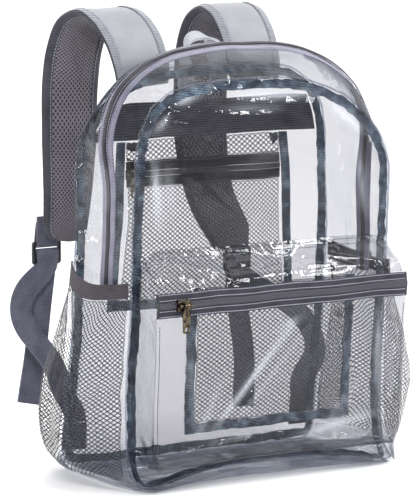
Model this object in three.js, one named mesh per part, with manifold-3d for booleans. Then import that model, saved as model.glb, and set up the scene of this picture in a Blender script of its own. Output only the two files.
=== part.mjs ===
// A clear PVC backpack with a round top, standing on its base.
// Millimetres. +Z is up and the front pocket faces -Y. The pieces are drawn about the middle of the bag's base,
// and the whole bag is moved at the end, so that the origin is the floor below the middle of all that it covers.
import * as THREE from "three";
import { mergeVertices } from "three/addons/utils/BufferGeometryUtils.js";
import Module from "manifold-3d";

const wasm = await Module();
wasm.setup();

// Walls and clearances
const pvcWall = 1;
const clothWall = 1.2;
const elasticWall = 1.8;
const netWall = 1;
const seamGap = 0.3;

// The body: its base, the height where the arch springs, and the tops of the two seams
const baseWidth = 302;
const baseDepth = 164;
const baseCorner = 13;
const frontLift = 17;
const springHeight = 300;
const springTaper = 2;
const frontTop = 401;
const backTop = 404;
const archCrown = 29;
const sideCrown = 3;
const frontSwell = 7;
const backSwell = 4;

// How full each shoulder of the two seams is: side is the pull up the side, top the pull along the top
const shoulders = {
  front: { left: { side: 0.88, top: 0.85 }, right: { side: 0.5, top: 0.58 } },
  back: { left: { side: 0.62, top: 0.66 }, right: { side: 0.95, top: 0.88 } },
};

// Half depths up the body, as shares of half the base's depth
const depthRows = [
  { up: 0.0, front: 1.0, back: 1.0 },
  { up: 0.035, front: 0.66, back: 1.0 },
  { up: 0.1, front: 0.56, back: 0.98 },
  { up: 0.24, front: 0.57, back: 0.88 },
  { up: 0.37, front: 0.61, back: 0.76 },
  { up: 0.53, front: 0.68, back: 0.69 },
  { up: 0.76, front: 0.75, back: 0.69 },
  { up: 1.0, front: 0.75, back: 0.74 },
];

// The main zip, which runs over the top from one side pocket to the other
const mainZip = { end: 190, centre: 0.4, tape: 9, chain: 6.4, chainThick: 2.6 };

// The box pocket on the front
const pocket = {
  seam: 236,
  slope: 36,
  tape: 8.5,
  chain: 6.4,
  chainThick: 2.6,
  floor: 24,
  depth: 44,
  halfWidth: 146,
  topCorner: 18,
  footCorner: 8,
  footRise: 3,
  round: 2.5,
  plumbFrom: 50,
  wallSteps: { side: 7, under: 8 },
  wallTop: 4,
  wallLift: 8,
  wallLean: 0.2,
};
const pocketRows = [
  // down from the seam to the floor: how far the pocket stands out, as a share of its depth
  { down: 0.0, out: 0.05 },
  { down: 0.05, out: 0.34 },
  { down: 0.11, out: 0.72 },
  { down: 0.17, out: 0.93 },
  { down: 0.3, out: 1.0 },
  { down: 0.65, out: 1.02 },
  { down: 1.0, out: 0.97 },
];

// The net pockets on the sides
const sideNet = {
  floor: 3,
  foot: 11,
  hemFront: 191,
  hemBack: 199,
  hem: 15,
  dip: 8,
  bulge: 53,
  folds: 4,
  foldDepth: 3.5,
  edge: 0.01,
};
const netRows = [
  // up from the pocket's floor to its hem, and on up the hem: how far it bulges, as a share of the bulge
  { up: 0.0, bulge: 0.16 },
  { up: 0.06, bulge: 0.5 },
  { up: 0.15, bulge: 0.86 },
  { up: 0.26, bulge: 0.98 },
  { up: 0.38, bulge: 1.0 },
  { up: 0.5, bulge: 0.88 },
  { up: 0.65, bulge: 0.7 },
  { up: 0.85, bulge: 0.48 },
  { up: 1.0, bulge: 0.33 },
  { up: 1.1, bulge: 0.22 },
];

// The net organiser and the elastic band on the inside of the back
const organiser = {
  floor: 158,
  halfWidth: 101,
  flare: 10,
  ribbon: 10,
  zipLow: 284,
  tape: 10,
  chain: 5.4,
  chainThick: 2.2,
  upperNet: 330,
  sag: 9,
};
const band = { low: 331.5, high: 368 };

// The net in the front pocket, framed by a ribbon
const pocketNet = { floor: 49, belowZip: 4, halfWidth: 98, aside: 11, ribbon: 10, sag: 8 };

// Ribbon that binds the raw seams inside
const ribbon = { width: 9, inset: 1.6, offset: 1.8, slopeInset: 1.4 };

// Sliders and pulls
const pocketSlider = { fromEnd: 28, long: 14, high: 11, thick: 3.2, bar: 2, barRise: 3.4, leg: 2 };
const pocketPull = { long: 27, wide: 8.5, tip: 7, thick: 1.6, hole: 4, knuckle: 5.4, bore: 3, wideKnuckle: 5 };
const organiserSlider = { fromEnd: 14, long: 12, high: 9.5, thick: 2.8, bar: 1.8, barRise: 3.2, leg: 1.8 };
const organiserPull = {
  long: 22,
  wide: 7,
  tip: 6,
  thick: 1.4,
  hole: 3,
  knuckle: 5,
  bore: 2.8,
  wideKnuckle: 4.4,
};
const mainSlider = { long: 14, wide: 11, thick: 6, rise: 12 };

// The shoulder straps
const strap = {
  root: 384,
  apart: 66,
  archRise: 72,
  standOff: 70,
  leftHang: 160,
  rightHang: 182,
  width: 62,
  pad: 11,
  edge: 3.4,
  leftSwing: -58,
  rightSwing: -21,
};
const strapRows = [
  // From the root over the arch to the lower end: out, rise and drop are shares of the strap's stand-off, rise and
  // hang, left and right are shares of each strap's swing, and wide and pad are shares of its width and padding.
  { out: 0.0, rise: 0.0, drop: 0.0, left: 0.0, right: 0.0, wide: 0.95, pad: 0.3 },
  { out: 0.03, rise: 0.3, drop: 0.0, left: 0.03, right: 0.05, wide: 0.98, pad: 0.5 },
  { out: 0.14, rise: 0.68, drop: 0.0, left: 0.14, right: 0.2, wide: 1.0, pad: 0.85 },
  { out: 0.36, rise: 0.94, drop: 0.0, left: 0.3, right: 0.35, wide: 1.0, pad: 1.0 },
  { out: 0.62, rise: 1.0, drop: 0.0, left: 0.46, right: 0.5, wide: 1.0, pad: 1.0 },
  { out: 0.86, rise: 0.84, drop: 0.0, left: 0.6, right: 0.7, wide: 1.0, pad: 1.0 },
  { out: 0.99, rise: 0.48, drop: 0.0, left: 0.7, right: 0.9, wide: 1.0, pad: 1.0 },
  { out: 1.02, rise: 0.0, drop: 0.0, left: 0.77, right: 1.0, wide: 1.0, pad: 1.0 },
  { out: 1.0, rise: 0.0, drop: 0.36, left: 0.81, right: 1.05, wide: 0.97, pad: 1.0 },
  { out: 0.95, rise: 0.0, drop: 0.68, left: 0.88, right: 0.6, wide: 0.86, pad: 0.95 },
  { out: 0.9, rise: 0.0, drop: 0.92, left: 0.97, right: -0.45, wide: 0.76, pad: 0.8 },
  { out: 0.88, rise: 0.0, drop: 1.0, left: 1.0, right: -0.8, wide: 0.6, pad: 0.45 },
];
const buckle = { wide: 33, high: 24, thick: 3.6, bar: 4, rail: 3.6, turn: 3, loopTop: 26 };
const webbing = { width: 25, thick: 1.3, hem: 11, length: 190, leave: [2, 10], tail: 2 };
const loop = { straight: 10, crossing: [4.5, 18], end: 6 };

// The route of each strap's webbing: up from its tab to the buckle, and down its free end
const webbingRoutes = {
  left: {
    buckle: [-137, 139, 212],
    rise: [
      [-141, 99, 74],
      [-144, 112, 100],
      [-156, 122, 121],
      [-167, 129, 138],
      [-171, 133, 156],
      [-164, 136, 174],
      [-148, 137, 188],
    ],
    fall: [
      [-143, 142, 155],
      [-150, 140, 109],
      [-161, 136, 58],
    ],
  },
  right: {
    buckle: [92, 139, 188],
    rise: [
      [150, 95, 68],
      [165, 101, 82],
      [171, 109, 98],
      [163, 118, 122],
      [142, 127, 142],
      [112, 134, 158],
    ],
    fall: [
      [96, 142, 131],
      [101, 139, 85],
      [97, 134, 30],
    ],
  },
};
const anchor = { x: 136, width: 26, low: 16, high: 44, thick: 2.2 };

// The haul handle between the straps
const handle = {
  aside: 4,
  apart: 19,
  foot: 380,
  footTop: 397,
  top: 433,
  width: 19,
  thick: 2.6,
  tilt: 0.36,
  lean: [4, 6],
  shoulder: { apart: 0.95, up: 0.5 },
  crown: { apart: 0.5, up: 0.93 },
};

const colours = {
  clear: 0xdfe3ec,
  tape: 0x6a6678,
  chain: 0x55535f,
  navy: 0x2c3547,
  net: 0x4a4a4c,
  elastic: 0x4b464d,
  silver: 0xa9abb0,
  webbing: 0x66666f,
  plastic: 0x3a3a3e,
  bronze: 0x75664f,
};

const lerp = (a, b, t) => a + (b - a) * t;
const clamp = (x, low, high) => Math.min(high, Math.max(low, x));
const vec = (x, y, z) => new THREE.Vector3(x, y, z);

// Reads a column of a table at a place between its rows, on a smooth curve.
function tableAt(rows, key, column, at) {
  const last = rows.length - 1;
  let k = 0;
  while (k < last - 1 && at > rows[k + 1][key]) k++;
  const slope = (n) => {
    const a = rows[Math.max(n - 1, 0)];
    const b = rows[Math.min(n + 1, last)];
    return (b[column] - a[column]) / (b[key] - a[key]);
  };
  const span = rows[k + 1][key] - rows[k][key];
  const t = clamp((at - rows[k][key]) / span, 0, 1);
  return (
    rows[k][column] * (1 + 2 * t) * (1 - t) ** 2 +
    slope(k) * span * t * (1 - t) ** 2 +
    rows[k + 1][column] * t * t * (3 - 2 * t) -
    slope(k + 1) * span * t * t * (1 - t)
  );
}

// Triangles over a closed skin of points, turned so that its faces point out.
function closedSolid(points, triangles) {
  let volume = 0;
  for (let k = 0; k < triangles.length; k += 3) {
    const [a, b, c] = [0, 1, 2].map((n) => points[triangles[k + n]]);
    volume += a.dot(b.clone().cross(c));
  }
  const geometry = new THREE.BufferGeometry().setFromPoints(points);
  geometry.setIndex(volume < 0 ? [...triangles].reverse() : triangles);
  return geometry;
}

// A sheet with a thickness about the surface point(u, v), for u and v from 0 to 1; a loop joins v = 1 to v = 0.
function sheet(point, across, along, thickness, loop = false) {
  const rows = loop ? along : along + 1;
  const middle = [];
  for (let j = 0; j < rows; j++) {
    for (let i = 0; i <= across; i++) middle.push(point(i / across, j / along));
  }
  const at = (i, j) => middle[((j + rows) % rows) * (across + 1) + i];
  const thick = typeof thickness === "function" ? thickness : () => thickness;
  const upper = [];
  const lower = [];
  for (let j = 0; j < rows; j++) {
    for (let i = 0; i <= across; i++) {
      const du = at(Math.min(i + 1, across), j).clone().sub(at(Math.max(i - 1, 0), j));
      const ahead = loop ? j + 1 : Math.min(j + 1, along);
      const behind = loop ? j - 1 : Math.max(j - 1, 0);
      const normal = du.cross(at(i, ahead).clone().sub(at(i, behind))).normalize();
      const half = thick(i / across, j / along) / 2;
      upper.push(at(i, j).clone().addScaledVector(normal, half));
      lower.push(at(i, j).clone().addScaledVector(normal, -half));
    }
  }
  const layer = upper.length;
  const id = (i, j, side) => ((j + rows) % rows) * (across + 1) + i + side * layer;
  const triangles = [];
  const quad = (a, b, c, d) => triangles.push(a, b, c, a, c, d);
  for (let j = 0; j < along; j++) {
    for (let i = 0; i < across; i++) {
      quad(id(i, j, 0), id(i + 1, j, 0), id(i + 1, j + 1, 0), id(i, j + 1, 0));
      quad(id(i, j, 1), id(i, j + 1, 1), id(i + 1, j + 1, 1), id(i + 1, j, 1));
    }
    quad(id(0, j, 1), id(0, j, 0), id(0, j + 1, 0), id(0, j + 1, 1));
    quad(id(across, j, 0), id(across, j, 1), id(across, j + 1, 1), id(across, j + 1, 0));
  }
  if (!loop) {
    for (let i = 0; i < across; i++) {
      quad(id(i, 0, 1), id(i + 1, 0, 1), id(i + 1, 0, 0), id(i, 0, 0));
      quad(id(i, along, 0), id(i + 1, along, 0), id(i + 1, along, 1), id(i, along, 1));
    }
  }
  return closedSolid([...upper, ...lower], triangles);
}

// Joins solids that overlap into one.
function join(...geometries) {
  const solids = geometries.map((geometry) => {
    const bare = geometry.clone();
    bare.deleteAttribute("normal");
    bare.deleteAttribute("uv");
    const merged = mergeVertices(bare, 1e-4);
    return new wasm.Manifold(
      new wasm.Mesh({
        numProp: 3,
        vertProperties: new Float32Array(merged.attributes.position.array),
        triVerts: new Uint32Array(merged.index.array),
      }),
    );
  });
  const whole = solids.reduce((a, b) => a.add(b)).getMesh();
  const result = new THREE.BufferGeometry();
  result.setAttribute("position", new THREE.BufferAttribute(whole.vertProperties, 3));
  result.setIndex(new THREE.BufferAttribute(whole.triVerts, 1));
  return result;
}

const bag = new THREE.Group();

function add(name, geometry, colour, roughness = 0.6, metalness = 0) {
  geometry.computeVertexNormals();
  const material = new THREE.MeshStandardMaterial({ color: colour, roughness, metalness });
  const mesh = new THREE.Mesh(geometry, material);
  mesh.name = name;
  bag.add(mesh);
  return mesh;
}

// The outlines of the front and back seams

const steps = { base: 3, corner: 2, lowSide: 6, highSide: 3, arch: 8 };
const halfSteps = steps.base + steps.corner + steps.lowSide + steps.highSide + steps.arch;
const sideStep = steps.base + steps.corner;
const zipStep = sideStep + steps.lowSide;
const ringSteps = 2 * halfSteps;
const flatBase = baseWidth / 2 - baseCorner;
const baseLevel = pvcWall / 2;

const sideHalf = (z) => baseWidth / 2 - springTaper * clamp(z / springHeight, 0, 1);
const liftAt = (x) => frontLift * (1 - clamp(Math.abs(x) / flatBase, 0, 1) ** 2);

// Half the body's width at any height up to the spring of the arch, with the round of the base corner.
function sideAt(z) {
  const rise = clamp((z - baseLevel) / baseCorner, 0, 1);
  const round = lerp(flatBase, sideHalf(baseCorner), Math.sin(Math.acos(1 - rise)));
  return round + sideHalf(z) - sideHalf(Math.min(z, baseCorner));
}

// Half of a seam's outline, from the middle of the base to the top of the arch, as x and z.
function halfOutline(top, shoulder) {
  const points = [];
  for (let k = 0; k < steps.base; k++) points.push([(flatBase * k) / steps.base, baseLevel]);
  for (let k = 0; k < steps.corner; k++) {
    const z = baseLevel + baseCorner * (1 - Math.cos(((k / steps.corner) * Math.PI) / 2));
    points.push([sideAt(z), z]);
  }
  const sideSteps = (low, high, count, crowding) => {
    for (let k = 0; k < count; k++) {
      const z = lerp(low, high, (k / count) ** crowding);
      points.push([sideAt(z), z]);
    }
  };
  sideSteps(baseLevel + baseCorner, mainZip.end, steps.lowSide, 1.5);
  sideSteps(mainZip.end, springHeight, steps.highSide, 1);
  const spring = sideAt(springHeight);
  const arch = new THREE.CubicBezierCurve(
    new THREE.Vector2(spring, springHeight),
    new THREE.Vector2(spring, lerp(springHeight, top, shoulder.side)),
    new THREE.Vector2(spring * shoulder.top, top),
    new THREE.Vector2(0, top),
  );
  for (let k = 0; k <= steps.arch; k++) {
    const p = arch.getPointAt(k / steps.arch);
    points.push([p.x, p.y]);
  }
  return points;
}

const seam = (name, top) => ({
  top,
  left: halfOutline(top, shoulders[name].left),
  right: halfOutline(top, shoulders[name].right),
});
const seams = { front: seam("front", frontTop), back: seam("back", backTop) };

// A step of a seam, counted from the middle of the base, up the right side, over the top and down the left.
function seamXZ(outline, step) {
  const k = ((step % ringSteps) + ringSteps) % ringSteps;
  if (k <= halfSteps) return outline.right[k];
  const [x, z] = outline.left[ringSteps - k];
  return [-x, z];
}

// Half a seam's width at a height, on the side where x is.
function widthAt(outline, x, z) {
  const half = x < 0 ? outline.left : outline.right;
  for (let k = sideStep; k < halfSteps; k++) {
    const [x0, z0] = half[k];
    const [x1, z1] = half[k + 1];
    if (z <= z1) return lerp(x0, x1, clamp((z - z0) / (z1 - z0), 0, 1));
  }
  return 1;
}

function swellAt(outline, x, z) {
  const across = 1 - Math.min(1, (x / Math.max(widthAt(outline, x, z), 1)) ** 2);
  return across * Math.sin(Math.PI * clamp(z / outline.top, 0, 1)) ** 0.9;
}
const depthAt = (column, z, top) =>
  (baseDepth / 2) * tableAt(depthRows, "up", column, clamp(z / top, 0, 1));
const frontEdgeY = (x, z) => -depthAt("front", z - liftAt(x), frontTop);
const backEdgeY = (z) => depthAt("back", z, backTop);
const frontY = (x, z) => frontEdgeY(x, z) - frontSwell * swellAt(seams.front, x, z - liftAt(x));
const backY = (x, z) => backEdgeY(z) + backSwell * swellAt(seams.back, x, z);

// A point at a distance from a panel, towards the inside of the bag when the distance is positive.
function offPanel(yAt, x, z, distance) {
  const d = 0.5;
  const slopeX = (yAt(x + d, z) - yAt(x - d, z)) / (2 * d);
  const slopeZ = (yAt(x, z + d) - yAt(x, z - d)) / (2 * d);
  const inward = vec(-slopeX, 1, -slopeZ).normalize().multiplyScalar(yAt === backY ? -1 : 1);
  return vec(x, yAt(x, z), z).addScaledVector(inward, distance);
}

function frontSeam(step) {
  const [x, z] = seamXZ(seams.front, step);
  return vec(x, frontEdgeY(x, z + liftAt(x)), z);
}
function backSeam(step) {
  const [x, z] = seamXZ(seams.back, step);
  return vec(x, backEdgeY(z), z);
}

// The lift of the front seam's base, which dies away up the corner
const seamLift = (step) => {
  const [x, z] = seamXZ(seams.front, step);
  return z > baseLevel + 1e-6 ? 0 : liftAt(x);
};

// Front and back panels, each a patch blended from the four stretches of its seam

const cornerStep = steps.base + steps.corner / 2;
const shoulderStep = halfSteps - cornerStep;
const panelAcross = 2 * cornerStep;
const panelUp = shoulderStep - cornerStep;

function panelXZ(outline, u, v, lifted) {
  const i = Math.round(u * panelAcross);
  const j = Math.round(v * panelUp);
  const at = (step) => {
    const [x, z] = seamXZ(outline, step);
    return new THREE.Vector2(x, z + (lifted ? seamLift(step) : 0));
  };
  const bottom = at(-cornerStep + i);
  const top = at(ringSteps - shoulderStep - i);
  const left = at(-cornerStep - j);
  const right = at(cornerStep + j);
  const bottomEnds = at(-cornerStep).lerp(at(cornerStep), u);
  const topEnds = at(-shoulderStep).lerp(at(shoulderStep), u);
  return bottom.lerp(top, v).add(left.lerp(right, u)).sub(bottomEnds.lerp(topEnds, v));
}

const panel = (outline, yAt, lifted) =>
  sheet(
    (u, v) => {
      const p = panelXZ(outline, u, v, lifted);
      return vec(p.x, yAt(p.x, p.y), p.y);
    },
    panelAcross,
    panelUp,
    pvcWall,
  );

add("front_panel", panel(seams.front, frontY, true), colours.clear, 0.1);
add("back_panel", panel(seams.back, backY, false), colours.clear, 0.1);

// The gusset between the two seams: t is 0 at the front seam and 1 at the back seam

// How far a wall stays from a panel's middle where it meets it, along Y
function meeting(yAt, x, z) {
  const slope = yAt(x, z + 1) - yAt(x, z);
  return (pvcWall / 2 + seamGap) * Math.hypot(1, slope) + (pvcWall / 2) * Math.abs(slope);
}

function gussetAt(step, t) {
  const front = frontSeam(step);
  const back = backSeam(step);
  const lift = seamLift(step);
  front.y += meeting(frontY, front.x * 0.99, front.z + lift);
  back.y -= meeting(backY, back.x * 0.99, back.z);
  const before = frontSeam(step - 1).lerp(backSeam(step - 1), t);
  const after = frontSeam(step + 1).lerp(backSeam(step + 1), t);
  const tangent = after.sub(before);
  const out = vec(tangent.z, 0, -tangent.x).normalize();
  const point = front.lerp(back, t);
  const arch = clamp((point.z - springHeight) / (frontTop - springHeight), 0, 1);
  const low = clamp(point.z / springHeight, 0, 1);
  const crown = archCrown * arch + sideCrown * Math.sin(Math.PI * low) * (1 - arch);
  point.z += lift * (1 - t) ** 4;
  return point.addScaledVector(out, crown * 4 * t * (1 - t));
}

// Parts of the gusset that meet along a step keep the seam gap
function gussetPatch(from, to, across) {
  const trim = seamGap / 2 + pvcWall / 4;
  return sheet(
    (u, v) => {
      const step = Math.round(lerp(from, to, v));
      const point = gussetAt(step, u);
      const inward = step === from ? 1 : step === to ? -1 : 0;
      if (inward === 0) return point;
      const next = gussetAt(step + inward * Math.sign(to - from), u);
      return point.addScaledVector(next.sub(point).normalize(), trim);
    },
    across,
    Math.abs(to - from),
    pvcWall,
  );
}

const zipDepth = backEdgeY(springHeight) - frontEdgeY(0, springHeight);
const zipT = (offset) => mainZip.centre + offset / zipDepth;
const chainHalf = mainZip.chain / 2;
const tapeInner = chainHalf + seamGap;
const tapeOuter = tapeInner + mainZip.tape;
const stripEdge = tapeOuter + seamGap;
const overTop = [zipStep, ringSteps - zipStep];

add("bottom_panel", gussetPatch(-cornerStep, cornerStep, 6), colours.clear, 0.1);
add("side_gusset_right", gussetPatch(cornerStep, zipStep, 6), colours.clear, 0.1);
add("side_gusset_left", gussetPatch(-cornerStep, -zipStep, 6), colours.clear, 0.1);

const trimmedTop = (t0, t1, across, thickness) =>
  sheet(
    (u, v) => {
      const [from, to] = overTop;
      const step = Math.round(lerp(from, to, v));
      const t = lerp(t0, t1, u);
      const point = gussetAt(step, t);
      if (step !== from && step !== to) return point;
      const next = gussetAt(step === from ? step + 1 : step - 1, t);
      return point.addScaledVector(next.sub(point).normalize(), seamGap / 2);
    },
    across,
    overTop[1] - overTop[0],
    thickness,
  );

add("top_gusset_front", trimmedTop(0, zipT(-stripEdge), 3, pvcWall), colours.clear, 0.1);
add("top_gusset_back", trimmedTop(zipT(stripEdge), 1, 4, pvcWall), colours.clear, 0.1);
add("main_zip_tape_front", trimmedTop(zipT(-tapeOuter), zipT(-tapeInner), 1, clothWall), colours.tape, 0.8);
add("main_zip_tape_back", trimmedTop(zipT(tapeInner), zipT(tapeOuter), 1, clothWall), colours.tape, 0.8);
add(
  "main_zip_chain",
  trimmedTop(zipT(-chainHalf), zipT(chainHalf), 1, mainZip.chainThick),
  colours.chain,
  0.5,
);

// The main slider, parked at the lower end of the far side
function mainSliderBlock() {
  const at = gussetAt(zipStep, mainZip.centre);
  const block = new THREE.BoxGeometry(mainSlider.thick, mainSlider.wide, mainSlider.long);
  const clear = mainZip.chainThick / 2 + seamGap + mainSlider.thick / 2;
  return block.translate(at.x + clear, at.y, at.z + mainSlider.rise);
}
add("main_zip_slider", mainSliderBlock(), colours.bronze, 0.4, 0.8);

// Ribbon that binds a seam's raw edges, lying just inside the panel all the way round
function binding(outline, yAt, lifted) {
  return sheet(
    (u, v) => {
      const step = Math.round(v * ringSteps);
      const at = (s) => {
        const [x, z] = seamXZ(outline, s);
        return new THREE.Vector2(x, z + (lifted ? seamLift(s) : 0));
      };
      const tangent = at(step + 1).sub(at(step - 1)).normalize();
      const inward = new THREE.Vector2(-tangent.y, tangent.x);
      const foot = at(step).addScaledVector(inward, ribbon.inset);
      const slope = Math.abs(yAt(foot.x, foot.y + 1) - yAt(foot.x, foot.y));
      const p = foot.addScaledVector(inward, ribbon.slopeInset * slope + (u * ribbon.width) / Math.hypot(1, slope));
      return offPanel(yAt, p.x, p.y, ribbon.offset);
    },
    1,
    ringSteps,
    clothWall,
    true,
  );
}
add("front_binding", binding(seams.front, frontY, true), colours.navy, 0.9);
add("back_binding", binding(seams.back, backY, false), colours.navy, 0.9);

// The front pocket's skin: u runs from its left edge to its right edge, z is the height

const pocketTall = pocket.seam - pocket.floor;
const zipTop = pocket.seam - pocket.slope;
const pocketOut = (z) => pocket.depth * tableAt(pocketRows, "down", "out", (pocket.seam - z) / pocketTall);

function pocketHalf(z) {
  const round = (fromEnd, radius) => {
    const dip = clamp(1 - fromEnd / radius, 0, 1);
    return radius * (1 - Math.sqrt(1 - dip * dip));
  };
  const cut = round(pocket.seam - z, pocket.topCorner) + round(z - pocket.floor, pocket.footCorner);
  return pocket.halfWidth - cut;
}
const pocketFloorRise = (share) => pocket.footRise * (1 - Math.abs(share)) ** 0.5;
const wallY = (z) => frontEdgeY(0.95 * flatBase, Math.max(z, pocket.plumbFrom));

function pocketSkin(share, z) {
  const x = share * pocketHalf(z);
  const round = pocket.round * (1 - share * share);
  const rise = z < pocket.floor + pocket.footCorner ? pocketFloorRise(share) : 0;
  return vec(x, wallY(z) - pocketOut(z) - round, z + rise);
}

const pocketPatch = (low, high, across, up, thickness) =>
  sheet((u, v) => pocketSkin(2 * u - 1, lerp(low, high, v)), across, up, thickness);

const zipLow = zipTop - 2 * pocket.tape - pocket.chain - 2 * seamGap;
const pocketZip = {
  lower: [zipLow, zipLow + pocket.tape],
  chain: [zipLow + pocket.tape + seamGap, zipLow + pocket.tape + seamGap + pocket.chain],
  upper: [zipTop - pocket.tape, zipTop],
};
add("pocket_face", pocketPatch(pocket.floor, zipLow - seamGap, 8, 7, pvcWall), colours.clear, 0.1);
add("pocket_zip_tape_lower", pocketPatch(...pocketZip.lower, 8, 1, clothWall), colours.tape, 0.8);
add("pocket_zip_chain", pocketPatch(...pocketZip.chain, 8, 1, pocket.chainThick), colours.chain, 0.5);
add("pocket_zip_tape_upper", pocketPatch(...pocketZip.upper, 8, 1, clothWall), colours.tape, 0.8);

// The sloping top of the pocket, which ends on the front panel
const pocketTop = sheet(
  (u, v) => {
    const share = 2 * u - 1;
    const z = lerp(zipTop + seamGap, pocket.seam, v);
    const p = pocketSkin(share, z);
    const near = offPanel(frontY, p.x, z, -(pvcWall + seamGap));
    return vec(p.x, Math.min(p.y, near.y), p.z);
  },
  8,
  5,
  pvcWall,
);
add("pocket_top", pocketTop, colours.clear, 0.1);

// The pocket's side and bottom wall, from the front panel out to its skin. The panel behind its floor slopes, so
// the floor stays this many times the usual clearance away from it.
const wallFloorClear = 3.4;
function pocketWall() {
  const { side, under } = pocket.wallSteps;
  const along = 2 * side + under;
  const clear = pvcWall / 2 + seamGap;
  const top = pocket.seam - pocket.wallTop;
  const outerAt = (k) => {
    if (k <= side) return [-1, lerp(top, pocket.floor, k / side)];
    if (k >= side + under) return [1, lerp(pocket.floor, top, (k - side - under) / side)];
    return [lerp(-1, 1, (k - side) / under), pocket.floor];
  };
  return sheet(
    (u, v) => {
      const [share, z] = outerAt(Math.round(v * along));
      const onSide = Math.abs(share) === 1;
      const skin = pocketSkin(share, z);
      const outer = skin.clone();
      if (onSide) outer.x -= (share * pvcWall) / 2;
      else outer.z += pvcWall / 2;
      const slope = onSide ? pocketSkin(share, z + 1).y - skin.y : 0;
      outer.y += clear * Math.hypot(1, slope) + (pvcWall / 2) * Math.abs(slope);
      const foot = liftAt(outer.x) + pocket.floor - pocket.wallLift + pocket.wallLean * (outer.z - pocket.floor);
      const innerZ = onSide ? outer.z : Math.min(foot, outer.z);
      const wall = offPanel(frontY, outer.x, innerZ, -(onSide ? 2 : wallFloorClear) * clear);
      wall.y = Math.max(wall.y, outer.y + 1);
      return wall.lerp(outer, u);
    },
    3,
    along,
    pvcWall,
  );
}
add("pocket_wall", pocketWall(), colours.clear, 0.1);

// The ribbon frame and net of an organiser that hangs on a panel: at(x, z) places it

function framePoint(corners, at, u, v) {
  const legs = corners.length - 1;
  const k = Math.min(Math.floor(v * legs), legs - 1);
  const f = v * legs - k;
  const [outerA, innerA] = corners[k];
  const [outerB, innerB] = corners[k + 1];
  const a = [lerp(outerA[0], innerA[0], u), lerp(outerA[1], innerA[1], u)];
  const b = [lerp(outerB[0], innerB[0], u), lerp(outerB[1], innerB[1], u)];
  return at(lerp(a[0], b[0], f), lerp(a[1], b[1], f));
}

const frameRibbon = (at, halfAt, low, high, wide) =>
  sheet(
    (u, v) => {
      const outerLow = halfAt(low);
      const outerHigh = halfAt(high);
      const corners = [
        [[-outerHigh, high], [wide - outerHigh, high]],
        [[-outerLow, low], [wide - outerLow, low + wide]],
        [[outerLow, low], [outerLow - wide, low + wide]],
        [[outerHigh, high], [outerHigh - wide, high]],
      ];
      return framePoint(corners, at, u, v);
    },
    1,
    15,
    clothWall,
  );

const spread = (at, halfAt, low, high, across, up, thickness) =>
  sheet(
    (u, v) => {
      const z = lerp(low, high, v);
      return at((2 * u - 1) * halfAt(z), z);
    },
    across,
    up,
    thickness,
  );

// The elastic band and the net organiser on the inside of the back panel

const organiserNear = pvcWall / 2 + seamGap + elasticWall / 2;
const organiserHalf = (z) => {
  const low = clamp((organiser.zipLow - z) / (organiser.zipLow - organiser.floor), 0, 1);
  return organiser.halfWidth + organiser.flare * low ** 2;
};
const organiserInner = (z) => organiserHalf(z) - organiser.ribbon - seamGap;
function organiserAt(x, z) {
  const hang = Math.sin((Math.PI * (organiser.upperNet - z)) / (organiser.upperNet - organiser.floor));
  const across = 1 - clamp(Math.abs(x) / organiser.halfWidth, 0, 1) ** 2;
  return offPanel(backY, x, z, organiserNear + organiser.sag * across * Math.max(hang, 0));
}

const bandEnd = ribbon.inset + ribbon.width + 3;
const bandSolid = sheet(
  (u, v) => {
    const z = lerp(band.low, band.high, v);
    const endAt = (side) => {
      const level = widthAt(seams.back, side, z) - bandEnd;
      const sloped = widthAt(seams.back, side, z + Math.SQRT1_2 * bandEnd) - Math.SQRT1_2 * bandEnd;
      return side * Math.min(level, sloped);
    };
    const [left, right] = [endAt(-1), endAt(1)];
    return offPanel(backY, lerp(left, right, u), z, organiserNear);
  },
  12,
  2,
  elasticWall,
);
add("elastic_band", bandSolid, colours.elastic, 0.95);

const orgZip = {};
orgZip.lower = [organiser.zipLow, organiser.zipLow + organiser.tape];
orgZip.chain = [orgZip.lower[1] + seamGap, orgZip.lower[1] + seamGap + organiser.chain];
orgZip.upper = [orgZip.chain[1] + seamGap, orgZip.chain[1] + seamGap + organiser.tape];
const organiserPatch = (low, high, across, up, thickness) =>
  spread(organiserAt, organiserInner, low, high, across, up, thickness);
add(
  "organiser_net_upper",
  organiserPatch(orgZip.upper[1] + seamGap, organiser.upperNet, 8, 2, netWall),
  colours.net,
  0.9,
);
add(
  "organiser_net_lower",
  organiserPatch(organiser.floor + organiser.ribbon + seamGap, organiser.zipLow - seamGap, 8, 6, netWall),
  colours.net,
  0.9,
);
add("organiser_zip_tape_upper", organiserPatch(...orgZip.upper, 8, 1, clothWall), colours.elastic, 0.9);
add("organiser_zip_chain", organiserPatch(...orgZip.chain, 8, 1, organiser.chainThick), colours.chain, 0.5);
add("organiser_zip_tape_lower", organiserPatch(...orgZip.lower, 8, 1, clothWall), colours.elastic, 0.9);
add(
  "organiser_ribbon",
  frameRibbon(organiserAt, organiserHalf, organiser.floor, organiser.upperNet, organiser.ribbon),
  colours.navy,
  0.9,
);

// The framed net inside the front pocket

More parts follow.
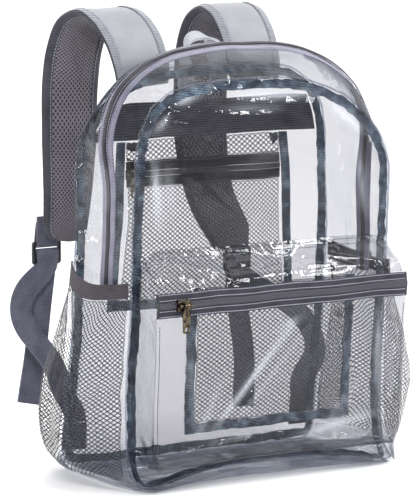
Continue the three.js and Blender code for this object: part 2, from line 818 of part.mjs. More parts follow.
const pocketNetNear = pvcWall / 2 + 3 * seamGap + clothWall / 2;
const pocketNetTop = zipTop - pocketNet.belowZip;
function pocketNetAt(x, z) {
  const hang = Math.sin((Math.PI * (z - pocketNet.floor)) / (pocketNetTop - pocketNet.floor));
  const across = 1 - clamp(Math.abs(x) / pocketNet.halfWidth, 0, 1) ** 2;
  const out = pocketNetNear + pocketNet.sag * across * Math.max(hang, 0);
  return offPanel(frontY, x + pocketNet.aside, z, -out);
}
const pocketNetInner = () => pocketNet.halfWidth - pocketNet.ribbon - seamGap;
add(
  "pocket_net",
  spread(
    pocketNetAt,
    pocketNetInner,
    pocketNet.floor + pocketNet.ribbon + seamGap,
    pocketNetTop,
    8,
    6,
    netWall,
  ),
  colours.net,
  0.9,
);
add(
  "pocket_net_ribbon",
  frameRibbon(pocketNetAt, () => pocketNet.halfWidth, pocketNet.floor, pocketNetTop, pocketNet.ribbon),
  colours.navy,
  0.9,
);

// The gathered net pockets on the sides: u runs from the front seam to the back seam

function sideNetAt(side, u, up) {
  const hemZ = lerp(sideNet.hemFront, sideNet.hemBack, u) - sideNet.dip * 4 * u * (1 - u);
  const z = sideNet.floor + (hemZ - sideNet.floor) * up;
  const seamX = side * sideAt(z);
  const front = frontEdgeY(seamX, z);
  const back = backEdgeY(z);
  const fullness = Math.sin(Math.PI * u ** 0.8) ** 0.7;
  const bulge = sideNet.bulge * tableAt(netRows, "up", "bulge", up) * fullness;
  const gather = Math.sin(Math.PI * clamp(up, 0, 1)) * fullness;
  const fold = sideNet.foldDepth * gather * Math.cos(2 * Math.PI * sideNet.folds * u);
  const clear = pvcWall / 2 + seamGap + netWall / 2 + sideCrown * 4 * u * (1 - u);
  const x = Math.abs(seamX) + clear + elasticWall + bulge + fold;
  return vec(side * x, lerp(front, back, lerp(sideNet.edge, 1 - sideNet.edge, u)), z);
}
const footShare = sideNet.foot / (sideNet.hemFront - sideNet.floor);
const hemShare = sideNet.hem / (sideNet.hemFront - sideNet.floor);
const edgeShare = seamGap / (sideNet.hemFront - sideNet.floor);
for (const [name, side] of [["left", -1], ["right", 1]]) {
  const patch = (low, high, up, thickness) =>
    sheet((u, v) => sideNetAt(side, u, lerp(low, high, v)), 16, up, thickness);
  add(`side_foot_${name}`, patch(0, footShare, 1, clothWall), colours.elastic, 0.95);
  add(`side_net_${name}`, patch(footShare + edgeShare, 1 - edgeShare, 9, netWall), colours.net, 0.9);
  add(`side_hem_${name}`, patch(1, 1 + hemShare, 1, elasticWall), colours.elastic, 0.95);
}

// Sliders with their bridges, and the pulls that hang from them

// A round bar or ring along X, with flat facets
function ringAlongX(outer, bore, long) {
  const shape = new THREE.Shape(new THREE.Path().absarc(0, 0, outer / 2, 0, 2 * Math.PI).getPoints(8));
  if (bore > 0) shape.holes.push(new THREE.Path().absarc(0, 0, bore / 2, 0, 2 * Math.PI, true));
  const round = new THREE.ExtrudeGeometry(shape, { depth: long, bevelEnabled: false, curveSegments: 10 });
  return round.rotateY(Math.PI / 2).translate(-long / 2, 0, 0);
}

// The slider's origin is the middle of its back face, and its bridge stands out towards -Y
function sliderSolid(slider) {
  const plate = new THREE.BoxGeometry(slider.long, slider.thick, slider.high);
  plate.translate(0, -slider.thick / 2, 0);
  const barY = -slider.thick - slider.barRise;
  const bar = ringAlongX(slider.bar, 0, slider.long).translate(0, barY, 0);
  const legReach = slider.barRise + slider.bar / 2;
  const legs = [-1, 1].map((end) =>
    new THREE.BoxGeometry(slider.leg, legReach + 0.5, slider.leg + 1).translate(
      end * (slider.long / 2 - slider.leg / 2),
      -slider.thick - legReach / 2 + 0.25,
      0,
    ),
  );
  return join(plate, bar, ...legs);
}

// The pull's origin is the middle of its knuckle, and it hangs down
function pullSolid(pull) {
  const wallMiddle = (pull.knuckle + pull.bore) / 4;
  const outline = new THREE.Shape([
    new THREE.Vector2(-pull.wideKnuckle / 2, -wallMiddle),
    new THREE.Vector2(-pull.wideKnuckle / 2, -pull.knuckle),
    new THREE.Vector2(-pull.wide / 2, -1.5 * pull.knuckle),
    new THREE.Vector2(-pull.tip / 2, 1 - pull.long),
    new THREE.Vector2(1 - pull.tip / 2, -pull.long),
    new THREE.Vector2(pull.tip / 2 - 1, -pull.long),
    new THREE.Vector2(pull.tip / 2, 1 - pull.long),
    new THREE.Vector2(pull.wide / 2, -1.5 * pull.knuckle),
    new THREE.Vector2(pull.wideKnuckle / 2, -pull.knuckle),
    new THREE.Vector2(pull.wideKnuckle / 2, -wallMiddle),
  ]);
  const hole = new THREE.Path().absarc(0, pull.hole * 0.9 - pull.long, pull.hole / 2, 0, 2 * Math.PI, true);
  outline.holes.push(hole);
  const plate = new THREE.ExtrudeGeometry(outline, { depth: pull.thick, bevelEnabled: false, curveSegments: 10 });
  plate.rotateX(Math.PI / 2).translate(0, pull.thick / 2, 0);
  return join(plate, ringAlongX(pull.knuckle, pull.bore, pull.wideKnuckle));
}

function addSliderAndPull(name, slider, pull, colour, back) {
  add(`${name}_slider`, sliderSolid(slider), colour, 0.35, 0.9).position.copy(back);
  const hang = vec(back.x, back.y - slider.thick - slider.barRise, back.z);
  add(`${name}_pull`, pullSolid(pull), colour, 0.35, 0.9).position.copy(hang);
}

const middleOf = ([low, high]) => (low + high) / 2;
const pocketChainZ = middleOf(pocketZip.chain);
const pocketSliderX = pocketSlider.fromEnd - pocket.halfWidth;
const onPocketChain = pocketSkin(pocketSliderX / pocketHalf(pocketChainZ), pocketChainZ);
onPocketChain.y -= pocket.chainThick / 2 + seamGap;
addSliderAndPull("pocket", pocketSlider, pocketPull, colours.bronze, onPocketChain);
const onOrganiserChain = organiserAt(organiserSlider.fromEnd - organiser.halfWidth, middleOf(orgZip.chain));
onOrganiserChain.y -= organiser.chainThick / 2 + 2 * seamGap;
addSliderAndPull("organiser", organiserSlider, organiserPull, colours.bronze, onOrganiserChain);

// A strip of cloth or webbing along a list of points, with its width along a direction

function strip(points, widthAlong, wide, across, thickness) {
  const last = points.length - 1;
  return sheet(
    (u, v) => {
      const k = Math.round(v * last);
      const tangent = points[Math.min(k + 1, last)].clone().sub(points[Math.max(k - 1, 0)]).normalize();
      const raw = widthAlong(v).clone();
      const side = raw.addScaledVector(tangent, -raw.dot(tangent)).normalize();
      return points[k].clone().addScaledVector(side, (u - 0.5) * wide(v));
    },
    across,
    last,
    thickness,
  );
}
const alongX = () => vec(1, 0, 0);

// Half a turn of webbing round a bar, as points in a plane of constant x
function halfTurn(x, y, z, radius, from, to) {
  const points = [];
  for (let k = 0; k <= 6; k++) {
    const angle = lerp(from, to, k / 6);
    points.push(vec(x, y + radius * Math.cos(angle), z + radius * Math.sin(angle)));
  }
  return points;
}
const smoothed = (points, count) => new THREE.CatmullRomCurve3(points, false, "centripetal").getSpacedPoints(count);

// The padded shoulder straps

function strapPoints(side) {
  const column = side < 0 ? "left" : "right";
  const swing = side < 0 ? strap.leftSwing : strap.rightSwing;
  const hang = side < 0 ? strap.leftHang : strap.rightHang;
  const x0 = side * strap.apart;
  const sewn = pvcWall / 2 + seamGap + strap.edge / 2;
  const root = offPanel(backY, x0, strap.root, -sewn);
  return strapRows.map((row) => {
    const z = strap.root + strap.archRise * row.rise - hang * row.drop;
    return vec(x0 + swing * row[column], root.y + strap.standOff * row.out, z);
  });
}

function strapSolid(side) {
  const count = 24;
  const curve = new THREE.CatmullRomCurve3(strapPoints(side), false, "centripetal");
  const last = strapRows.length - 1;
  const rows = strapRows.map((row, k) => ({ ...row, place: k }));
  const place = (v) => curve.getUtoTmapping(v) * last;
  const points = curve.getSpacedPoints(count);
  const wide = (v) => strap.width * tableAt(rows, "place", "wide", place(v));
  const thick = (u, v) => {
    const pad = strap.pad * tableAt(rows, "place", "pad", place(v));
    const middle = 1 - Math.abs(2 * u - 1) ** 4;
    return strap.edge + Math.max(pad - strap.edge, 0) * middle;
  };
  return strip(points, alongX, wide, 6, thick);
}

function buckleSolid() {
  const half = [buckle.wide / 2, buckle.high / 2];
  const bite = 2;
  const frame = new THREE.Shape([
    new THREE.Vector2(-half[0] + bite, -half[1]),
    new THREE.Vector2(half[0] - bite, -half[1]),
    new THREE.Vector2(half[0], bite - half[1]),
    new THREE.Vector2(half[0], half[1] - bite),
    new THREE.Vector2(half[0] - bite, half[1]),
    new THREE.Vector2(-half[0] + bite, half[1]),
    new THREE.Vector2(-half[0], half[1] - bite),
    new THREE.Vector2(-half[0], bite - half[1]),
  ]);
  const inner = half[0] - buckle.rail;
  const slot = (low, high) =>
    frame.holes.push(
      new THREE.Path([
        new THREE.Vector2(-inner, low),
        new THREE.Vector2(-inner, high),
        new THREE.Vector2(inner, high),
        new THREE.Vector2(inner, low),
      ]),
    );
  slot(buckle.bar / 2, half[1] - buckle.bar);
  slot(buckle.bar - half[1], -buckle.bar / 2);
  const plate = new THREE.ExtrudeGeometry(frame, { depth: buckle.thick, bevelEnabled: false });
  return plate.rotateX(Math.PI / 2).translate(0, buckle.thick / 2, 0);
}

// How far past a bar's face the middle of a half turn of webbing lies
const turnInset = 0.9;

for (const [name, side] of [["left", -1], ["right", 1]]) {
  add(`strap_${name}`, strapSolid(side), colours.silver, 0.6);
  const route = webbingRoutes[name];
  const [bx, by, bz] = route.buckle;
  add(`strap_buckle_${name}`, buckleSolid(), colours.plastic, 0.4).position.set(bx, by, bz);

  const tabOff = -(pvcWall / 2 + seamGap + anchor.thick / 2);
  const tabAt = (z) => offPanel(backY, side * anchor.x, z, tabOff);
  const tab = [0, 1, 2, 3].map((k) => tabAt(lerp(anchor.low, anchor.high, k / 3)));
  add(`strap_anchor_${name}`, strip(tab, alongX, () => anchor.width, 1, anchor.thick), colours.webbing, 0.9);

  const up = halfTurn(bx, by, bz + buckle.bar / 2 - turnInset, buckle.turn, Math.PI, 0);
  const below = bz - buckle.high / 2 - webbing.tail;
  const riseEnd = vec(bx, by - buckle.turn, below);
  const fallStart = vec(bx, by + buckle.turn, below);
  const start = tabAt(anchor.high + 2 * seamGap);
  const leaving = start.clone().add(vec(0, ...webbing.leave));
  const rise = smoothed([start, leaving, ...route.rise.map((p) => vec(...p)), riseEnd], 18);
  const fall = smoothed([fallStart, ...route.fall.map((p) => vec(...p))], 12);
  const hemShareOfWay = webbing.hem / webbing.length;
  const webbingThick = (u, v) => (v > 1 - hemShareOfWay ? 2 * webbing.thick : webbing.thick);
  add(
    `strap_webbing_${name}`,
    strip([...rise, ...up, ...fall], alongX, () => webbing.width, 1, webbingThick),
    colours.webbing,
    0.9,
  );

  const barMiddle = bz + buckle.high / 2 - buckle.bar + turnInset;
  const round = halfTurn(bx, by, barMiddle, buckle.turn, -Math.PI, 0);
  const top = bz + buckle.high / 2 + buckle.loopTop;
  const near = by - buckle.turn;
  const [crossingOut, crossingDown] = loop.crossing;
  const loopPoints = [
    vec(bx, near, top),
    vec(bx, near, top - loop.straight),
    ...round,
    vec(bx, near + crossingOut, top - crossingDown),
    vec(bx, near + webbing.thick + seamGap, top - loop.end),
  ];
  add(`strap_loop_${name}`, strip(loopPoints, alongX, () => webbing.width, 1, webbing.thick), colours.webbing, 0.9);
}

// The haul handle, flat on the back panel at its feet and turned edge forward over the top

function handleSolid() {
  const off = -(pvcWall / 2 + 6 * seamGap + handle.thick / 2);
  const rise = handle.top - handle.footTop;
  const middle = handle.aside;
  const foot = (side, z) => offPanel(backY, middle + side * handle.apart, z, off);
  const over = (side, place, out) =>
    vec(
      middle + side * place.apart * handle.apart,
      foot(1, handle.footTop).y + out,
      handle.footTop + place.up * rise,
    );
  const [shoulderLean, crownLean] = handle.lean;
  const curve = new THREE.CatmullRomCurve3(
    [
      foot(-1, handle.foot),
      foot(-1, handle.footTop),
      over(-1, handle.shoulder, shoulderLean),
      over(-1, handle.crown, crownLean),
      over(1, handle.crown, crownLean),
      over(1, handle.shoulder, shoulderLean),
      foot(1, handle.footTop),
      foot(1, handle.foot),
    ],
    false,
    "centripetal",
  );
  const points = curve.getSpacedPoints(22);
  const widthAlong = (v) => {
    const over = Math.sin(Math.PI * v) ** 2;
    return vec(Math.cos(Math.PI * v), over, handle.tilt * over);
  };
  return strip(points, widthAlong, () => handle.width, 1, handle.thick);
}
add("top_handle", handleSolid(), colours.silver, 0.8);

// The origin: the floor below the middle of everything
const cover = new THREE.Box3().setFromObject(bag, true);
const middle = cover.getCenter(vec(0, 0, 0));
bag.position.set(-middle.x, -middle.y, -cover.min.z);

export default bag;
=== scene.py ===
# %% [markdown]
# A clear backpack stands on a pale studio floor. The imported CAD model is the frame: it says where every panel,
# zip, net and strap is. This lesson dresses that frame, one finish and one piece at a time.
# Clear film, net and padded cloth each need a different way of modelling, and each cell says why it was chosen.

# %% Load the frame
import math

import bmesh
import bpy
from mathutils import Matrix, Vector, noise
from mathutils.bvhtree import BVHTree


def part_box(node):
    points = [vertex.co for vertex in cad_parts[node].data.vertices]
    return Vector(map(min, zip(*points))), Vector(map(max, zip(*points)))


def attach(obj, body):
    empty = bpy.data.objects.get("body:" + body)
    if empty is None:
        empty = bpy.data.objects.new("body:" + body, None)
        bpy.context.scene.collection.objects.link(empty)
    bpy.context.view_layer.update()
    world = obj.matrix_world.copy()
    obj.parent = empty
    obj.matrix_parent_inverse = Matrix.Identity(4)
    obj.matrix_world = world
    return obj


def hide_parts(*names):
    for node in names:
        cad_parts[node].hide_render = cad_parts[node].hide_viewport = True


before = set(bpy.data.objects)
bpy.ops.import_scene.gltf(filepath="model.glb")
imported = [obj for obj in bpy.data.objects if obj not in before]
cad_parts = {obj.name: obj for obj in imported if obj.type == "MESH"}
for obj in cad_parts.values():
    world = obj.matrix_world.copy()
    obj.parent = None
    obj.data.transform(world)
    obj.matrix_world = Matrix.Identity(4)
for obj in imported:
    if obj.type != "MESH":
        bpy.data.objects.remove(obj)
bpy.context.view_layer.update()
mm = 0.001

# %% [markdown]
# The camera comes first, because everything is judged through it. The photograph was taken with a long lens from
# a little above, with the bag turned about thirty degrees, so the lens is long and far away here too. A small shift
# centres the bag as the photograph's frame does.

# %% Camera
turn, tilt = math.radians(31.89), math.radians(8.15)
distance = 3.5
target = Vector((0, -17.19 * mm, 217.5 * mm))
back = Vector((-math.sin(turn) * math.cos(tilt), -math.cos(turn) * math.cos(tilt), math.sin(tilt)))
camera = bpy.data.objects.new("camera", bpy.data.cameras.new("camera"))
bpy.context.scene.collection.objects.link(camera)
camera.location = target + back * distance
camera.rotation_euler = (-back).to_track_quat("-Z", "Y").to_euler()
camera.data.lens = 250.27
camera.data.shift_x = -0.0547
camera.data.shift_y = 0.0068
camera.data.clip_end = 50
bpy.context.scene.camera = camera
print("camera at", tuple(round(v, 3) for v in camera.location))

# %% [markdown]
# Clear film is seen mostly by what it mirrors, so it needs contrast around it: small bright panels that draw white
# glints on every fold, and a dim world between them that leaves dark things behind the film dark. A very large
# panel high behind the bag keeps the floor white as far as the picture shows it. Film also needs many see-through
# layers in one line of sight, so their number is raised.

# %% Lights, world and floor
def area_light(name, place, aim, width, height, power):
    light = bpy.data.lights.new(name, "AREA")
    light.shape = "RECTANGLE"
    light.size = width
    light.size_y = height
    light.energy = power
    lamp = bpy.data.objects.new(name, light)
    lamp.location = place
    lamp.rotation_euler = (Vector(place) - Vector(aim)).to_track_quat("Z", "Y").to_euler()
    bpy.context.scene.collection.objects.link(lamp)
    return lamp


area_light("key_panel", (-1.3, -1.3, 1.7), (0, 0, 0.2), 0.4, 0.4, 26)
area_light("front_strip", (1.15, -1.75, 1.1), (0, 0, 0.2), 0.35, 0.4, 18)
area_light("crease_strip", (0.15, -2.0, 0.85), (0, 0, 0.2), 0.12, 0.4, 8)
area_light("upper_panel", (1.1, -0.7, 1.8), (0, 0, 0.2), 0.35, 0.35, 11)
area_light("side_strip", (1.5, -0.5, 0.8), (0, 0, 0.25), 0.16, 1.3, 8)
area_light("rear_strip", (-1.2, 1.9, 0.75), (0, 0, 0.25), 0.25, 1.2, 12)
area_light("sky_panel", (1.9, 3.2, 3.3), (1.9, 3.2, 0), 5.0, 7.0, 240)

scene = bpy.context.scene
scene.view_settings.view_transform = "Standard"
scene.cycles.transparent_max_bounces = 48
world = bpy.data.worlds.new("studio")
scene.world = world
world.use_nodes = True
world.node_tree.nodes["Background"].inputs["Color"].default_value = (1, 1, 1, 1)
world.node_tree.nodes["Background"].inputs["Strength"].default_value = 0.55

# %% [markdown]
# Every finish is a node tree. One helper adds a node with its options, its numbers and the links that feed it, and
# one turns a colour as picked on a screen into the linear light that the renderer adds up.

# %% Helpers for materials
def colour(code):
    channels = [int(code[k : k + 2], 16) / 255 for k in (1, 3, 5)]
    linear = [c / 12.92 if c <= 0.04045 else ((c + 0.055) / 1.055) ** 2.4 for c in channels]
    return (*linear, 1)


def add_node(tree, kind, options=None, values=None, links=None):
    made = tree.nodes.new("ShaderNode" + kind)
    for key, value in (options or {}).items():
        setattr(made, key, value)
    for key, value in (values or {}).items():
        made.inputs[key].default_value = value
    for key, source in (links or {}).items():
        tree.links.new(source, made.inputs[key])
    return made


def new_material(name):
    material = bpy.data.materials.new(name)
    material.use_nodes = True
    material.node_tree.nodes.clear()
    return material, material.node_tree


def bumpy(tree, height, strength, depth):
    return add_node(
        tree,
        "Bump",
        values={"Strength": strength, "Distance": depth},
        links={"Height": height},
    ).outputs["Normal"]


floor_finish, tree = new_material("painted_floor_matt_white")
coordinates = add_node(tree, "TexCoord")
mottle = add_node(
    tree, "TexNoise", values={"Scale": 3.0, "Detail": 2.0}, links={"Vector": coordinates.outputs["Object"]}
)
tone = add_node(tree, "ValToRGB", links={"Fac": mottle.outputs["Fac"]})
tone.color_ramp.elements[0].color = colour("#f3f3f4")
tone.color_ramp.elements[1].color = colour("#f8f8f8")
shader = add_node(
    tree,
    "BsdfPrincipled",
    values={"Roughness": 0.85, "Specular IOR Level": 0.2},
    links={"Base Color": tone.outputs["Color"]},
)
add_node(tree, "OutputMaterial", links={"Surface": shader.outputs["BSDF"]})
bpy.ops.object.select_all(action="DESELECT")
bpy.ops.mesh.primitive_plane_add(size=40, location=(0, 0, -0.8 * mm))
floor = bpy.context.active_object
floor.name = "floor"
floor.data.materials.append(floor_finish)
print("floor laid")

# %% [markdown]
# The walls are calendered PVC film, rolled hot between polished rollers: glassy, faintly blue, and darker where one
# looks along it. A true glass shader would throw black shadows inside the bag, so the film is a see-through shader
# with a mirror on top. The mirror's share follows Schlick's rule: a few per cent seen squarely, and all of it seen
# along the sheet. Facing gives that for both faces alike, where the Fresnel node would turn the sheet's back into a
# full mirror. Soft noise gives the buckles, and ridged noise the long sharp folds. Near seams and corners the film
# is crumpled into small facets: those come from a cell pattern, as strong as the piece's crumple attribute says.

# %% Film
def film(name, thin, deep, haze, gloss=0.04, buckle=0.4):
    """Clear PVC: thin and deep are its tint seen squarely and along it, haze is the share that scatters light."""
    material, tree = new_material(name)
    place = add_node(tree, "TexCoord").outputs["Object"]
    buckles = add_node(
        tree, "TexNoise", values={"Scale": 20.0, "Detail": 2.0, "Distortion": 1.2}, links={"Vector": place}
    )
    bent = add_node(tree, "VectorMath", options={"operation": "MULTIPLY_ADD"}, values={1: (0.03, 0.03, 0.03)})
    tree.links.new(buckles.outputs["Color"], bent.inputs[0])
    tree.links.new(place, bent.inputs[2])
    facets = add_node(
        tree,
        "TexVoronoi",
        options={"feature": "F1"},
        values={"Scale": 40.0, "Detail": 0.5},
        links={"Vector": bent.outputs["Vector"]},
    )
    crumple = add_node(tree, "Attribute", options={"attribute_name": "crumple"})
    ridges = add_node(
        tree,
        "TexNoise",
        options={"noise_type": "RIDGED_MULTIFRACTAL"},
        values={"Scale": 9.0, "Detail": 1.5, "Distortion": 0.6},
        links={"Vector": place},
    )
    folded = add_node(
        tree,
        "Math",
        options={"operation": "MULTIPLY_ADD"},
        values={1: 0.5},
        links={0: ridges.outputs["Fac"], 2: buckles.outputs["Fac"]},
    )
    relief = add_node(
        tree,
        "Math",
        options={"operation": "MULTIPLY_ADD"},
        links={0: facets.outputs["Distance"], 1: crumple.outputs["Fac"], 2: folded.outputs["Value"]},
    )
    normal = bumpy(tree, relief.outputs["Value"], buckle, 0.005)
    facing = add_node(tree, "LayerWeight", values={"Blend": 0.5}, links={"Normal": normal}).outputs["Facing"]
    slant = add_node(tree, "Math", options={"operation": "POWER"}, values={1: 5.0}, links={0: facing})
    mirrored = add_node(
        tree,
        "MapRange",
        values={"To Min": 0.014, "To Max": 0.8},
        links={"Value": slant.outputs["Value"]},
    )
    along = add_node(tree, "Math", options={"operation": "POWER"}, values={1: 3.5}, links={0: facing})
    squarely_seen = add_node(tree, "BsdfTransparent", values={"Color": colour(thin)})
    along_seen = add_node(tree, "BsdfTransparent", values={"Color": colour(deep)})
    body = add_node(
        tree,
        "MixShader",
        links={0: along.outputs["Value"], 1: squarely_seen.outputs["BSDF"], 2: along_seen.outputs["BSDF"]},
    )
    scatter = add_node(tree, "BsdfDiffuse", values={"Color": colour("#e9edf6")})
    # Along the creases the film is mixed towards the white scatter: a painted highlight that draws each crease as a
    # light line.
    painted_crease_highlight = add_node(tree, "Attribute", options={"attribute_name": "painted_crease_highlight"})
    haze_plus_crease_glint = add_node(
        tree,
        "Math",
        options={"operation": "MULTIPLY_ADD"},
        values={1: 0.45, 2: haze},
        links={0: painted_crease_highlight.outputs["Fac"]},
    )
    cloudy = add_node(
        tree,
        "MixShader",
        links={0: haze_plus_crease_glint.outputs["Value"], 1: body.outputs["Shader"], 2: scatter.outputs["BSDF"]},
    )
    mirror = add_node(tree, "BsdfGlossy", values={"Roughness": gloss}, links={"Normal": normal})
    shine = add_node(
        tree,
        "MixShader",
        links={0: mirrored.outputs["Result"], 1: cloudy.outputs["Shader"], 2: mirror.outputs["BSDF"]},
    )
    add_node(tree, "OutputMaterial", links={"Surface": shine.outputs["Shader"]})
    return material


clear_film = film("pvc_film_calendered_clear", "#eeeeef", "#98a2b3", 0.003, buckle=0.5)
# The base is the same PVC film given a paler tint: painted light that lifts the shade seen through the base and cast on
# the floor below it.
base_film_painted_light = film("pvc_film_calendered_base_painted_light", "#f1f2f4", "#c6ccd8", 0.003, buckle=0.5)
clear_welt = film("pvc_welt_extruded_clear", "#dfe3ea", "#5c667b", 0.05, 0.1)
print("film finishes:", clear_film.name, base_film_painted_light.name, clear_welt.name)

# %% [markdown]
# Cloth finishes differ in thread and weave, but share a build: a colour that varies a little, ribs or threads as
# bump at their real spacing, the same ribs painted into the colour as shade in their grooves, and a sheen. Ribs run
# along one of the object's axes, so Object coordinates serve.
# Ribs closer than about two millimetres don't show in the picture, so the finest are drawn at 1.6 mm.

# %% Cloth finishes
def woven(name, dark, light, pitch, axis, rough=0.75, sheen=0.2, depth=0.0004, second=None, painted_patch_highlight=None):
    """Ribbed cloth: pitch is the spacing of its ribs, axis the direction across them, and the last colour, if given, a
    painted highlight on noise patches.
    """
    material, tree = new_material(name)
    place = add_node(tree, "TexCoord").outputs["Object"]
    ribs = add_node(
        tree,
        "TexWave",
        options={"wave_type": "BANDS", "bands_direction": axis, "wave_profile": "SIN"},
        values={"Scale": 2 * math.pi / pitch / 20, "Distortion": 0.4, "Detail": 1.0},
        links={"Vector": place},
    )
    cloudy = add_node(
        tree, "TexNoise", values={"Scale": 60.0, "Detail": 4.0, "Roughness": 0.65}, links={"Vector": place}
    )
    height = ribs.outputs["Fac"]
    if second:
        cross = add_node(
            tree,
            "TexWave",
            options={"wave_type": "BANDS", "bands_direction": second, "wave_profile": "SIN"},
            values={"Scale": 2 * math.pi / pitch / 20, "Distortion": 0.3},
            links={"Vector": place},
        )
        height = add_node(
            tree, "Math", options={"operation": "MULTIPLY"}, links={0: height, 1: cross.outputs["Fac"]}
        ).outputs["Value"]
    # Colour follows the rib height as well as random noise: painted shade in the grooves, lighter crests.
    rib_shade_and_mottle = add_node(
        tree,
        "Math",
        options={"operation": "MULTIPLY_ADD"},
        values={1: 0.2 if painted_patch_highlight else 0.55},
        links={0: height, 2: cloudy.outputs["Fac"]},
    )
    tone = add_node(tree, "ValToRGB", links={"Fac": rib_shade_and_mottle.outputs["Value"]})
    tone.color_ramp.elements[0].position = 0.35
    tone.color_ramp.elements[0].color = colour(dark)
    tone.color_ramp.elements[1].position = 0.62 if painted_patch_highlight else 1.0
    tone.color_ramp.elements[1].color = colour(light)
    # With a highlight colour, the palest noise patches are painted as highlights.
    if painted_patch_highlight:
        tone.color_ramp.elements.new(0.78).color = colour(painted_patch_highlight)
    shader = add_node(
        tree,
        "BsdfPrincipled",
        values={"Roughness": rough, "Sheen Weight": sheen, "Specular IOR Level": 0.15},
        links={"Base Color": tone.outputs["Color"], "Normal": bumpy(tree, height, 0.7, depth)},
    )
    add_node(tree, "OutputMaterial", links={"Surface": shader.outputs["BSDF"]})
    return material


# Polyester zip tape: a close herringbone, lavender grey on the main zip and nearly black inside
main_tape = woven("polyester_zip_tape_woven_lavender", "#57546a", "#908da2", 1.6 * mm, "DIAGONAL", 0.6, 0.3)
pocket_tape = woven("polyester_zip_tape_woven_slate", "#0d0c12", "#36343f", 1.6 * mm, "DIAGONAL", 0.5, 0.08)
organiser_tape = woven("polyester_zip_tape_woven_black", "#08080b", "#1b1b21", 1.6 * mm, "DIAGONAL", 0.6, 0.05)
# Grosgrain ribbon: crosswise ribs on navy, with pale teal noise patches painted in as highlight where crumpled ribbon
# catches the light
navy_ribbon = woven("polyester_grosgrain_ribbon_navy", "#0c1019", "#2f3b4e", 1.6 * mm, "Z", 0.4, 0.1, painted_patch_highlight="#71838f")
# Knitted elastic: rows of rubber cord, 2.4 mm apart
rib_elastic = woven("elastic_rib_knit_charcoal", "#0c0c10", "#45454f", 2.4 * mm, "Z", 0.8, 0.1, 0.0008)
hem_elastic = woven("elastic_hem_knit_taupe", "#2f2b31", "#4e484f", 1.6 * mm, "Z", 0.75, 0.08, 0.0002)
# Polypropylene webbing: a coarse plain weave with a soft shine
grey_webbing = woven("polypropylene_webbing_woven_grey", "#4a4b57", "#717282", 2.0 * mm, "Z", 0.5, 0.15, 0.0003, second="X")
pale_webbing = woven("polypropylene_webbing_woven_pale", "#7b7d84", "#b3b5bc", 2.0 * mm, "X", 0.45, 0.3, 0.0005)
# Net: knitted polyester thread, too fine for a weave of its own, so only its tone varies
net_thread = woven("polyester_net_knitted_charcoal", "#121216", "#3a3a42", 1.6 * mm, "DIAGONAL", 0.6, 0.2, 0.0001)
seam_thread = woven("polyester_thread_twisted_pale", "#6d6f7b", "#9c9eaa", 1.6 * mm, "DIAGONAL", 0.5, 0.3, 0.0001)
dark_thread = woven("polyester_thread_twisted_slate", "#23232b", "#484853", 1.6 * mm, "DIAGONAL", 0.5, 0.3, 0.0001)
print("cloth finishes ready")

# %% [markdown]
# The straps have two cloths. Outside is a silvery nylon twill with a strong sheen, inside an air mesh, a knit with
# round holes at 3.4 mm. Both follow the strap over its arch, so they read the strap's own UV map: U across its
# width and V along its length.

# %% Strap finishes
strap_wide, strap_long = 62 * mm, 470 * mm


def strap_map(tree):
    place = add_node(tree, "TexCoord").outputs["UV"]
    return add_node(
        tree, "Mapping", values={"Scale": (strap_wide, strap_long, 1)}, links={"Vector": place}
    ).outputs["Vector"]


silver_nylon, tree = new_material("nylon_twill_woven_silver")
place = strap_map(tree)
twill = add_node(
    tree,
    "TexWave",
    options={"wave_type": "BANDS", "bands_direction": "DIAGONAL"},
    values={"Scale": 2 * math.pi / (1.8 * mm) / 20, "Distortion": 0.6},
    links={"Vector": place},
)
clouds = add_node(tree, "TexNoise", values={"Scale": 14.0, "Detail": 6.0}, links={"Vector": place})
tone = add_node(tree, "ValToRGB", links={"Fac": clouds.outputs["Fac"]})
tone.color_ramp.elements[0].position = 0.3
tone.color_ramp.elements[0].color = colour("#797b81")
tone.color_ramp.elements[1].position = 0.7
tone.color_ramp.elements[1].color = colour("#93959b")
shader = add_node(
    tree,
    "BsdfPrincipled",
    values={"Roughness": 0.42, "Sheen Weight": 0.2, "Sheen Roughness": 0.35, "Specular IOR Level": 0.35},
    links={"Base Color": tone.outputs["Color"], "Normal": bumpy(tree, twill.outputs["Fac"], 0.35, 0.0003)},
)
add_node(tree, "OutputMaterial", links={"Surface": shader.outputs["BSDF"]})

air_mesh, tree = new_material("air_mesh_knitted_charcoal")
place = strap_map(tree)
turned = add_node(
    tree,
    "Mapping",
    values={"Rotation": (0, 0, math.radians(45)), "Scale": (1 / (3.4 * mm),) * 3},
    links={"Vector": place},
)
cells = add_node(
    tree,
    "TexVoronoi",
    options={"feature": "F1", "voronoi_dimensions": "2D"},
    values={"Scale": 1.0, "Randomness": 0.08},
    links={"Vector": turned.outputs["Vector"]},
)
holes = add_node(tree, "ValToRGB", links={"Fac": cells.outputs["Distance"]})
holes.color_ramp.elements[0].position = 0.24
holes.color_ramp.elements[0].color = colour("#141217")
holes.color_ramp.elements[1].position = 0.42
holes.color_ramp.elements[1].color = colour("#77727b")
shader = add_node(
    tree,
    "BsdfPrincipled",
    values={"Roughness": 0.8, "Sheen Weight": 0.35, "Specular IOR Level": 0.3},
    links={
        "Base Color": holes.outputs["Color"],
        "Normal": bumpy(tree, cells.outputs["Distance"], 0.9, 0.0012),
    },
)
add_node(tree, "OutputMaterial", links={"Surface": shader.outputs["BSDF"]})

strap_binding = woven("polyester_grosgrain_binding_grey", "#64666d", "#909299", 1.6 * mm, "Z", 0.5, 0.2)
# The lining side of the same grey tape, painted slate as shade where the strap faces the bag.
binding_painted_shade = woven("polyester_grosgrain_binding_grey_painted_shade", "#26262c", "#4b4b54", 1.6 * mm, "Z", 0.5, 0.2)
print("strap finishes:", silver_nylon.name, air_mesh.name)

# %% [markdown]
# Sliders and pulls are die-cast zinc with a thin antique brass plating: a metal, so its colour is in the mirror.
# The plating is a little uneven, which noise puts into both colour and roughness. Buckles and zip coils are moulded
# and extruded plastic with a plain satin skin.

